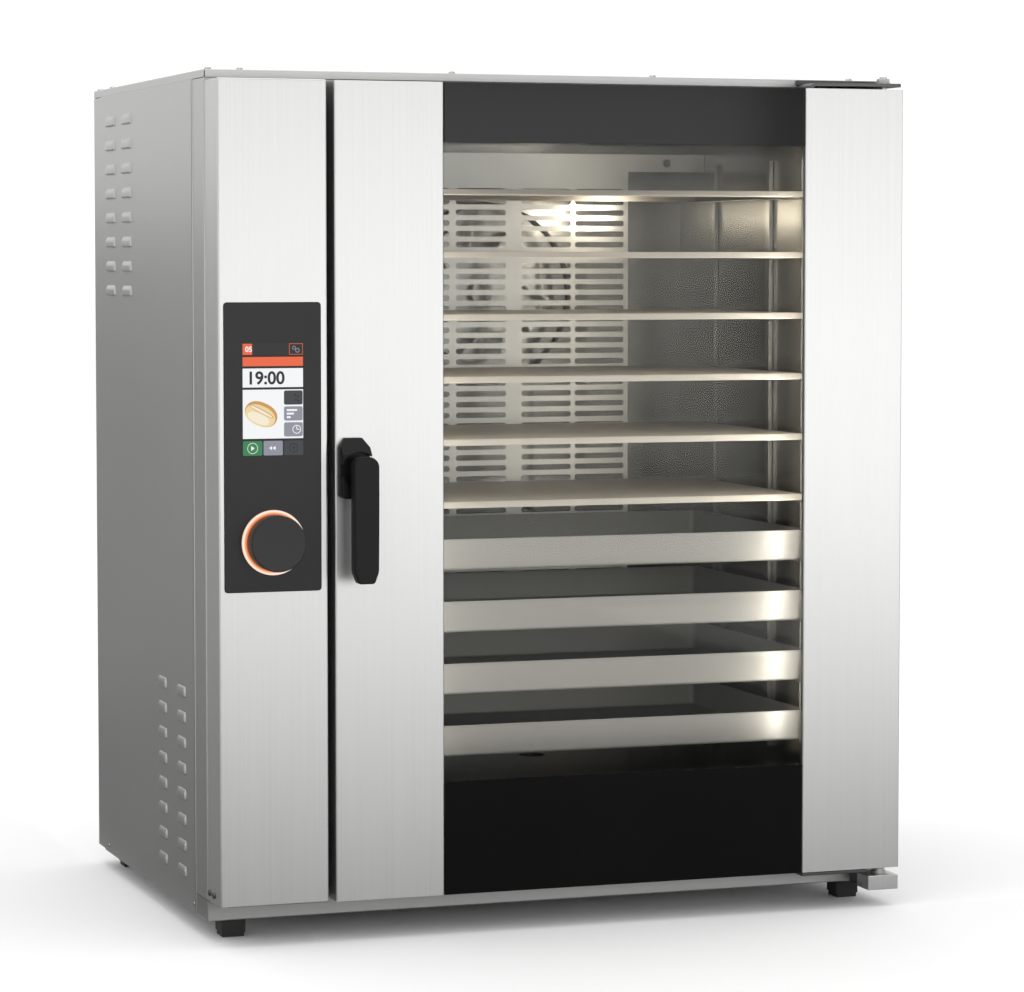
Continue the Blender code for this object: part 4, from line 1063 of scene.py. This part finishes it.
def make_lamps():
    """A shallow metal channel and a lit cover for each lamp, which lights the trays."""
    wall, lip, inset = 0.0012, 0.004, 0.0016
    for side, inward in (("left", 1), ("right", -1)):
        low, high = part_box(f"lamp_strip_{side}")
        outline = rounded_rectangle((low.x + inset, low.y + inset), (high.x - inset, high.y), 0.003, 4)
        bm = bmesh.new()
        add_soft_prism(bm, outline, "Z", low.z, high.z, 0.0010)
        lens = piece(f"lamp_lens_{side}", bm, "lamp_cover", (f"lamp_strip_{side}",), "door")
        light_trays(side, inward, lens)
        rim = high.y - lip
        profile = [
            (low.x, low.y), (high.x, low.y), (high.x, rim), (high.x - wall, rim),
            (high.x - wall, low.y + wall), (low.x + wall, low.y + wall), (low.x + wall, rim), (low.x, rim),
        ]
        bm = bmesh.new()
        add_prism(bm, profile, "Z", low.z, high.z)
        piece(f"lamp_channel_{side}", bm, "fitting_steel", body="door")


def make_handle_base():
    """The block behind the lever, sloped off at its upper front and bored for the lever's neck."""
    low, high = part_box("handle_base")
    high.x -= 0.0035
    cut, step = 0.0075, 0.003
    shoulder = high.z - cut * 1.6
    outline = [
        (low.x + step, low.z), (high.x - step, low.z), (high.x, low.z + step), (high.x, shoulder),
        (high.x - cut, high.z), (low.x + cut, high.z), (low.x, shoulder), (low.x, low.z + step),
    ]
    bm = bmesh.new()
    add_prism(bm, outline, "Y", low.y, high.y)
    rim = bmesh.ops.bisect_plane(
        bm, geom=[*bm.verts, *bm.edges, *bm.faces], plane_co=(0, low.y, high.z - 0.0205),
        plane_no=Vector((0, -0.0200, 0.0175)).normalized(), clear_outer=True, dist=1e-6,
    )["geom_cut"]
    bmesh.ops.contextual_create(bm, geom=[item for item in rim if isinstance(item, bmesh.types.BMEdge)])
    bmesh.ops.recalc_face_normals(bm, faces=bm.faces)
    bevel(bm, bm.edges, 0.0010, 3)
    base = piece("handle_base_block", bm, "black_plastic", ("handle_base",), "door", "handle_plastic")
    bore, depth = 0.0235, 0.0110
    axis = (middle_of("handle_lever").x, 0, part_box("handle_lever")[1].z - AXIS_DROP)
    pocket = bmesh.new()
    add_turned(pocket, [(bore, low.y - 0.005), (bore, low.y + depth)], axis, "Y", 64)
    hollow = base.modifiers.new("pocket", "BOOLEAN")
    hollow.object = helper("handle_pocket_cutter", pocket)


def helper(name, bm):
    """A hidden shape that a Boolean cuts with."""
    made = new_object(name, new_mesh(name, bm))
    made.hide_render = True
    made.display_type = "WIRE"
    return made


def make_lever():
    """The hanging grip, tapered at its foot, and the round neck that turns with the spindle."""
    low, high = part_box("handle_lever")
    low.x += 0.0015
    high.x += 0.0008
    grip_back = low.y + 0.0175
    taper_height, taper_in = 0.0150, 0.0060
    right_round, left_round = 0.0135, 0.0105
    waist = 0.0006
    outline = [
        (low.x + taper_in, low.z), (high.x - taper_in, low.z), (high.x - waist, low.z + taper_height),
        (high.x, low.z + (high.z - low.z) * 0.62),
    ]
    outline += arc((high.x - right_round, high.z - right_round), right_round, 0, 90, 8)
    outline += arc((low.x + left_round, high.z - left_round), left_round, 90, 180, 8)
    outline += [(low.x, low.z + taper_height)]
    bm = bmesh.new()
    add_prism(bm, outline, "Y", low.y, grip_back)
    corners = [
        edge for edge in bm.edges
        if abs(edge.verts[0].co.y - edge.verts[1].co.y) > 0.01 and edge.verts[0].co.z < low.z + 0.02
    ]
    bevel(bm, corners, 0.0030, 4)
    rims = [edge for edge in bm.edges if abs(edge.verts[0].co.y - edge.verts[1].co.y) < 1e-6]
    bevel(bm, rims, 0.0022, 4)
    neck, chamfer = 0.0134, 0.0008
    profile = [
        (neck * 0.86, grip_back - 0.003), (neck * 0.90, grip_back + 0.001), (neck, grip_back + 0.004),
        (neck, high.y - chamfer), (neck - chamfer, high.y),
    ]
    add_turned(bm, profile, (middle_of("latch_spindle").x, 0, high.z - AXIS_DROP), "Y", 48)
    piece(
        "lever_grip", bm, "black_plastic", ("handle_lever",), "latch_handle", "handle_plastic", smooth=40
    )


def make_slot_shade_strip():
    """A black strip in the slot between the control column and the door: painted shade, standing in for
    the shadow deep in the slot.
    """
    low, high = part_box("control_fascia")
    left, right = high.x + SKIN_GAP, corner_of("door_left_stile").x - SKIN_GAP
    bm = bmesh.new()
    add_soft_block(bm, (left, BODY.y - 0.0040, low.z), (right, BODY.y - SKIN_GAP, high.z), 0.0010)
    # Painted shade: the slot is dark only from its depth, so a black strip stands in it.
    piece("slot_shade_strip", bm, "black_rubber")


def make_latch():
    softened("latch_spindle_cut", "latch_spindle", "fitting_steel", 0.0004, "latch_handle")
    softened("strike_block", "strike", "fitting_steel", 0.0008)


def make_gasket():
    """A bulb seal round the cavity's mouth, a little narrower towards the door."""
    low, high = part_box("door_gasket")
    half, depth = 0.006, high.y - low.y
    radius, steps = 0.014, 6
    profile = []
    for a, b in arc((0, 0), 1, 0, 360, 20)[:-1]:
        bulge = half * 0.82 if b < 0 else half
        profile.append((a * bulge, high.y - depth / 2 + b * depth / 2))
    path = rounded_rectangle((low.x + half, low.z + half), (high.x - half, high.z - half), radius, steps)
    centre = ((low.x + high.x) / 2, (low.z + high.z) / 2)
    rings = []
    for i, point in enumerate(path):
        before, after = path[i - 1], path[(i + 1) % len(path)]
        way = Vector((after[0] - before[0], after[1] - before[1])).normalized()
        out = Vector((way.y, -way.x))
        if out.dot(Vector((point[0] - centre[0], point[1] - centre[1]))) < 0:
            out = -out
        rings.append([Vector((point[0] + out.x * a, y, point[1] + out.y * a)) for a, y in profile])
    bm = bmesh.new()
    add_loft(bm, rings, loop=True)
    piece("door_seal", bm, "black_rubber", ("door_gasket",), smooth=60)


# The hinges


def make_top_hinge():
    """The plate over the door's pin: its left end bent down, a tab up its back, and two screws."""
    low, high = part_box("hinge_bracket_top")
    low.x += 0.0235
    top = at(0, 0, 1.0705).z
    thick, bend, corner, taper = 0.0045, 0.010, 0.006, 0.012
    front, back = low.y, high.y
    outline = [(low.x + bend, front + taper), (low.x + 0.060, front)]
    outline += arc((high.x - corner, front + corner), corner, 270, 360, 4)
    outline += [(high.x, back), (low.x + bend, back)]
    bm = bmesh.new()
    add_prism(bm, outline, "Z", top - thick, top)
    flap_end = low.x + bend + 0.004
    flap = [
        (low.x, top - 0.0072), (low.x + 0.003, top - 0.0072), (low.x + 0.006, top - thick),
        (flap_end, top - thick), (flap_end, top), (low.x + 0.0045, top), (low.x, top - 0.0040),
    ]
    add_prism(bm, flap, "Y", front + taper, back)
    tab, lap = back - 0.003, top - 0.001
    add_prism(bm, [(tab, lap), (back, lap), (back, high.z), (tab, high.z)], "X", low.x, high.x)
    bevel(bm, [edge for edge in bm.edges if edge.calc_face_angle(0) > SHARP], 0.0004)
    piece("top_hinge_plate", bm, "dark_steel", ("hinge_bracket_top",))
    bm = bmesh.new()
    for x in (low.x + 0.020, low.x + 0.055):
        add_screw(bm, Vector((x, (front + back) / 2 + 0.010, lap)), (0, 0, 1), SMALL_SCREW)
    piece("top_hinge_screws", bm, "fitting_steel", material="screw_steel")


def hexagon(centre, across):
    return arc(centre, across / math.sqrt(3), 30, 330, 5)


def make_top_pin():
    """The door's upper pin, with its washer and hexagonal nut."""
    low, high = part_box("hinge_pin_top")
    pin = middle_of("hinge_pin_top")
    nut_top = high.z - 0.0022
    nut_bottom = nut_top - 0.0050
    chamfer, under = 0.0005, nut_bottom - 0.0015
    profile = [
        (PIN - chamfer, low.z), (PIN, low.z + chamfer), (PIN, under), (WASHER, under),
        (WASHER, nut_bottom - 0.0002), (WASHER - 0.0003, nut_bottom), (PIN, nut_bottom),
        (PIN, high.z - chamfer), (PIN - chamfer, high.z),
    ]
    bm = bmesh.new()
    add_turned(bm, profile, (pin.x, pin.y, 0), "Z", 40)
    add_soft_prism(bm, hexagon((pin.x, pin.y), 0.015), "Z", nut_bottom, nut_top, 0.0006)
    piece("hinge_bolt_top", bm, "fitting_steel", ("hinge_pin_top",), material="screw_steel")


def make_bottom_hinge():
    """The block under the door with its stepped pin, and the dark plates that carry it; the plate under
    the right stile is a hinge arm darkened to paint the shade in the slit beneath the stile.
    """
    low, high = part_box("hinge_bracket_bottom")
    pin = middle_of("hinge_pin_top")
    top, back = at(0, 0, 0.0175).z, low.y + 0.036
    wall = BODY.y - SKIN_GAP
    bm = bmesh.new()
    add_soft_block(bm, low, (high.x, back, top), 0.0010, 3)
    collar, chamfer = WASHER - 0.0016, 0.0006
    profile = (
        (WASHER - 0.0004, top - 0.001), (WASHER, top + 0.0006), (WASHER, top + 0.0028),
        (collar, top + 0.0032), (collar, top + 0.0060),
        (PIN, top + 0.0062), (PIN, high.z - chamfer), (PIN - chamfer, high.z),
    )
    add_turned(bm, profile, (pin.x, pin.y, 0), "Z", 40)
    replaces = ("hinge_bracket_bottom",)
    piece("bottom_hinge_block", bm, "fitting_steel", replaces, material="brushed_steel")
    inset = 0.002
    bm = bmesh.new()
    arm_low = (low.x + inset, back - inset, low.z + inset)
    add_soft_block(bm, arm_low, (high.x, wall, top - 0.004), 0.0006)
    # Partly painted shade: a dark plate under the right stile, a hinge arm darkened for the slit beneath
    # it.
    door = corner_of("door_right_stile")
    plate = door.z - 0.0016
    add_soft_block(bm, (door.x + inset, low.y + 0.004, plate - 0.0040), (low.x, wall, plate), 0.0005)
    piece("bottom_hinge_arm_and_slit_shade", bm, "fitting_steel", material="dark_steel")


# The cavity


def make_racks():
    softened("rack_left_frame", "rack_left", "cavity_steel", 0.0004)
    softened("rack_right_frame", "rack_right", "cavity_steel", 0.0004)


def add_pan(bm, low, high, radius, profile):
    """A tray skinned over rounded rectangles, each at its own inset from the tray's box and height."""
    rings = []
    for inset, z in profile:
        start, end = (low.x + inset, low.y + inset), (high.x - inset, high.y - inset)
        outline = rounded_rectangle(start, end, max(radius - inset * 0.5, 0.0012), 5)
        rings.append([Vector((x, y, z)) for x, y in outline])
    add_loft(bm, rings)


def make_flat_tray(name):
    """A baking sheet whose edges slope down and out to a folded rim."""
    low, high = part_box(name)
    wall, slope = 0.0012, 0.0062
    top, bottom = high.z, low.z
    profile = (
        (slope + wall, top - wall), (wall, bottom), (0.0002, bottom), (0, bottom + 0.0010),
        (slope - 0.0006, top - 0.0004), (slope + 0.0008, top),
    )
    bm = bmesh.new()
    add_pan(bm, low, high, 0.0030, profile)
    piece(f"{name}_sheet", bm, "tray_metal", (name,), material="sheet_metal", smooth=50)


def make_deep_tray(name):
    """A pan with flared walls, rounded where they meet its floor, and a rolled rim."""
    low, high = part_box(name)
    wall, flare, floor, knee = 0.0013, 0.0045, 0.004, 0.0012
    bottom, top = low.z, high.z
    outside = (
        (flare + floor, bottom), (flare + knee, bottom + 0.0010), (flare, bottom + floor),
        (0.0010, top - 0.0016),
    )
    rim = (
        (0, top - 0.0012), (0, top - 0.0003), (0.0006, top), (wall + 0.0006, top),
        (wall + 0.0012, top - 0.0008),
    )
    inside = (
        (flare + wall, bottom + floor + wall * 0.5), (flare + knee + wall, bottom + 0.0010 + wall),
        (flare + floor + wall, bottom + wall),
    )
    bm = bmesh.new()
    add_pan(bm, low, high, 0.012, outside + rim + inside)
    piece(f"{name}_pan", bm, "tray_metal", (name,), smooth=50)


def make_trays():
    for name in sorted(frame["nodes"]):
        if name.startswith("flat_tray"):
            make_flat_tray(name)
        elif name.startswith("deep_tray"):
            make_deep_tray(name)


def baffle_slots(lowest):
    """Rows of round-ended slots in two pairs of columns."""
    half, height, pitch = 0.038, 0.0080, 0.0152
    z = at(0, 0, 0.9361).z
    holes = []
    while z > lowest:
        for x in (0.4348, 0.5200, 0.6188, 0.7002):
            left, right = BODY.x + x - half, BODY.x + x + half
            bottom, top = z - height / 2, z + height / 2
            holes.append(rounded_rectangle((left, bottom), (right, top), height / 2 - 0.0001, 3))
        z -= pitch
    return holes


def make_baffle():
    """The air plate, with its slots, folded side edges and bolts."""
    low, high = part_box("rear_baffle")
    front, back = low.y, high.y
    left, right = at(0.356, 0, 0).x, at(0.744, 0, 0).x
    ear, lip, lap, bolt_out = 0.025, 0.014, 0.0001, 0.060
    outline = [(left, low.z), (right, low.z), (right, high.z), (left, high.z)]
    bm = bmesh.new()
    add_plate(bm, outline, baffle_slots(low.z + 0.040), "Y", front, back)
    for bottom in (low.z, high.z - ear):
        add_block(bm, (low.x, front, bottom), (left + lap, back, bottom + ear))
        add_block(bm, (right - lap, front, bottom), (high.x, back, bottom + ear))
    for edge, inward in ((left, 1), (right, -1)):
        low_x, high_x = sorted((edge, edge + inward * SHEET))
        add_block(bm, (low_x, back - lap, low.z), (high_x, front + lip, high.z))
    piece("baffle_plate", bm, "cavity_steel", ("rear_baffle",), material="lit_baffle_steel")
    bm = bmesh.new()
    for x in (left - bolt_out, right + bolt_out):
        for z in (low.z + ear / 2, high.z - ear / 2):
            add_screw(bm, Vector((x, front, z)), (0, -1, 0), PANEL_SCREW * 1.3)
    piece("baffle_screws", bm, "fitting_steel", material="screw_steel")


def make_heaters():
    for node in ("heater_upper", "heater_lower"):
        piece(f"{node}_tube", copy_of_node(node), "dark_steel", (node,), smooth=70)


# The services


def make_exhaust():
    """The vent's collar, with a shallow groove under its rounded rim."""
    low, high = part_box("exhaust_collar")
    centre, radius = middle_of("exhaust_collar"), half_width_of("exhaust_collar")
    top, edge = high.z, 0.0004
    bore, groove = radius - 0.0015, radius - 0.00072
    profile = [
        (radius, low.z), (radius, top - 0.008), (groove, top - 0.007), (groove, top - 0.005),
        (radius, top - 0.004), (radius, top - edge), (radius - edge, top), (bore + edge, top),
        (bore, top - edge), (bore, low.z),
    ]
    bm = bmesh.new()
    add_turned(bm, profile, (centre.x, centre.y, 0), "Z", 72, loop=True)
    piece("exhaust_pipe", bm, "fitting_steel", ("exhaust_collar",))


def make_water_valve():
    """The valve's brass body, and the thread on the spigot that the hose screws onto."""
    softened("water_valve_body", "water_inlet_valve", "brass", 0.0008)
    centre = at(0.100, 0, 0.120)
    radius, pitch, threads = 0.011, 0.0018, 7
    root, crest = radius - 0.0004, radius + 0.0006
    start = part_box("water_inlet_valve")[1].y - threads * pitch - 0.002
    profile = [(radius - 0.0006, start - pitch)]
    for k in range(threads):
        y = start + k * pitch
        profile += [(root, y), (crest, y + pitch / 2)]
    profile += [(root, start + threads * pitch)]
    bm = bmesh.new()
    add_turned(bm, profile, (centre.x, 0, centre.z), "Y", 40)
    piece("water_thread", bm, "brass")


def make_gland():
    """The cable's gland: a flange on the wall, a hexagonal body and a tapered cap."""
    low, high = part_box("cable_gland")
    centre = middle_of("cable_gland")
    wall = at(0, 0.630, 0).y
    bore, shank, flange, neck = 0.006, 0.012, 0.0170, 0.0135
    profile = [
        (bore, low.y), (shank, low.y), (shank, wall + SKIN_GAP), (flange - 0.0005, wall + SKIN_GAP),
        (flange, wall + 0.001), (flange, wall + 0.002), (neck, wall + 0.0025), (neck, wall + 0.011),
        (shank, wall + 0.014), (0.0095, high.y - 0.002), (0.0088, high.y), (bore, high.y),
    ]
    bm = bmesh.new()
    add_turned(bm, profile, (centre.x, 0, centre.z), "Y", 48, loop=True)
    outer = hexagon((centre.x, centre.z), 0.029)
    add_plate(bm, outer, [circle((centre.x, centre.z), 0.0130, 32)], "Y", wall + 0.0028, wall + 0.0098)
    piece("gland_body", bm, "black_plastic", ("cable_gland",))


# The studio


def flat_sheet(name, corners, material):
    """A bare quadrilateral for the studio."""
    mesh = bpy.data.meshes.new(name)
    mesh.from_pydata([tuple(corner) for corner in corners], [], [(0, 1, 2, 3)])
    mesh.materials.append(material)
    made = new_object(name, mesh)
    return made


def make_floor():
    reach = 80
    level = CAD_BOX[0].z - 0.0002
    corners = [(x * reach, y * reach, level) for x, y in ((-1, -1), (1, -1), (1, 1), (-1, 1))]
    paint = surface("floor_paint", (0.93, 0.93, 0.93), 0, 0.9, (3, 3, 3), tone=0.005, bump=0.01)
    flat_sheet("floor", corners, paint)


def make_flag(name, corners, tone):
    """A dark board that only the oven's shiny faces see."""
    paint = surface(name, (tone, tone, tone), 0, 0.9, (3, 3, 3), tone=0.05, bump=0.01)
    made = flat_sheet(name, corners, paint)
    made.visible_camera = False
    made.visible_diffuse = False
    made.visible_shadow = False
    made.visible_transmission = False


def make_flags():
    """Boards on the floor in front, above the key lights, beyond the left side and beside its foot."""
    level = CAD_BOX[0].z + 0.004
    front, rim = BODY.y - 0.07, BODY.y - 2.4
    outline = [(-1.5, rim), (4.0, rim + 1.2), (3.0, front), (-1.0, front)]
    make_flag("front_flag", [(x, y, level) for x, y in outline], 0.03)
    bottom, top = 1.36, 3.6
    outline = [(-2, bottom), (7, bottom), (7, top), (-2, top)]
    make_flag("upper_flag", [(x, -5.3, z) for x, z in outline], 0.25)
    near, far, top = (-2.6, 1.6), (-0.5, 2.6), 0.95
    make_flag("side_flag", [(*near, 0), (*far, 0), (*far, top), (*near, top)], 0.30)
    left = BODY.x - 0.02
    outline = [(-3.0, -1.0), (left, -0.4), (left, 2.5), (-3.0, 1.5)]
    make_flag("side_floor_flag", [(x, y, level) for x, y in outline], 0.17)


def add_softbox(name, place, target, size, radiance, colour=(1, 1, 1)):
    """A rectangular lamp whose strength is the radiance of its face."""
    light = bpy.data.lights.new(name, "AREA")
    light.shape = "RECTANGLE"
    light.size, light.size_y = size
    light.energy = radiance * math.pi * size[0] * size[1]
    light.color = colour
    made = new_object(name, light)
    made.location = place
    made.rotation_euler = (Vector(target) - Vector(place)).to_track_quat("-Z", "Y").to_euler()
    made.visible_camera = False
    return made


def make_lights():
    """Soft boxes before and above the oven, and two lights inside its cavity."""
    world = bpy.data.worlds.new("studio")
    world.use_nodes = True
    set_inputs(world.node_tree.nodes["Background"], Color=(1, 1, 1, 1), Strength=SKY)
    bpy.context.scene.world = world
    add_softbox("key", (0.85, -5.05, 0.72), (0.85, 0, 0.72), (2.88, 1.36), KEY)
    add_softbox("key_right", (3.15, -4.85, 0.705), (3.15, 0, 0.705), (1.40, 1.35), KEY_RIGHT)
    add_softbox("floor_glow", (2.3, -3.3, 0.02), (2.3, -3.3, 1), (1.8, 1.4), FLOOR_GLOW)
    add_softbox("overhead", (-0.5, -0.6, 3.6), (0, 0, 0.6), (3.0, 2.4), OVERHEAD)
    centre = middle_of("cavity_liner")
    place = (centre.x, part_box("door_inner_glass")[1].y, centre.z)
    target = (centre.x, 1, centre.z)
    add_softbox("cavity_wash", place, target, (0.5, 0.78), CAVITY_WASH, (1, 0.92, 0.86))
    place = at(0.700, 0, 0.903)
    place.y = corner_of("rear_baffle").y - 0.05
    target = at(0.700, 1, 0.893)
    add_softbox("cavity_lamp", place, target, (0.05, 0.02), CAVITY_LAMP, (1, 0.88, 0.70))


def make_camera():
    data = bpy.data.cameras.new("camera")
    data.lens = LENS
    data.shift_y = CAMERA_SHIFT
    data.clip_end = 200
    camera = new_object("camera", data)
    camera.location = CAMERA_PLACE
    camera.rotation_euler = (math.radians(90 - CAMERA_PITCH), 0, math.radians(-CAMERA_YAW))
    bpy.context.scene.camera = camera
    bpy.context.scene.view_settings.view_transform = "Standard"


def main():
    make_camera()
    dress_nodes()
    make_shell()
    make_left_side()
    make_lid()
    make_body_screws()
    make_feet()
    make_fascia()
    make_screen()
    make_glow_ring()
    make_knob()
    make_door_sheets()
    make_door_glass()
    make_lamps()
    make_handle_base()
    make_lever()
    make_latch()
    make_slot_shade_strip()
    make_gasket()
    make_top_hinge()
    make_top_pin()
    make_bottom_hinge()
    make_racks()
    make_trays()
    make_baffle()
    make_heaters()
    make_exhaust()
    make_water_valve()
    make_gland()
    keep_flats_flat()
    make_floor()
    make_flags()
    make_lights()


main()
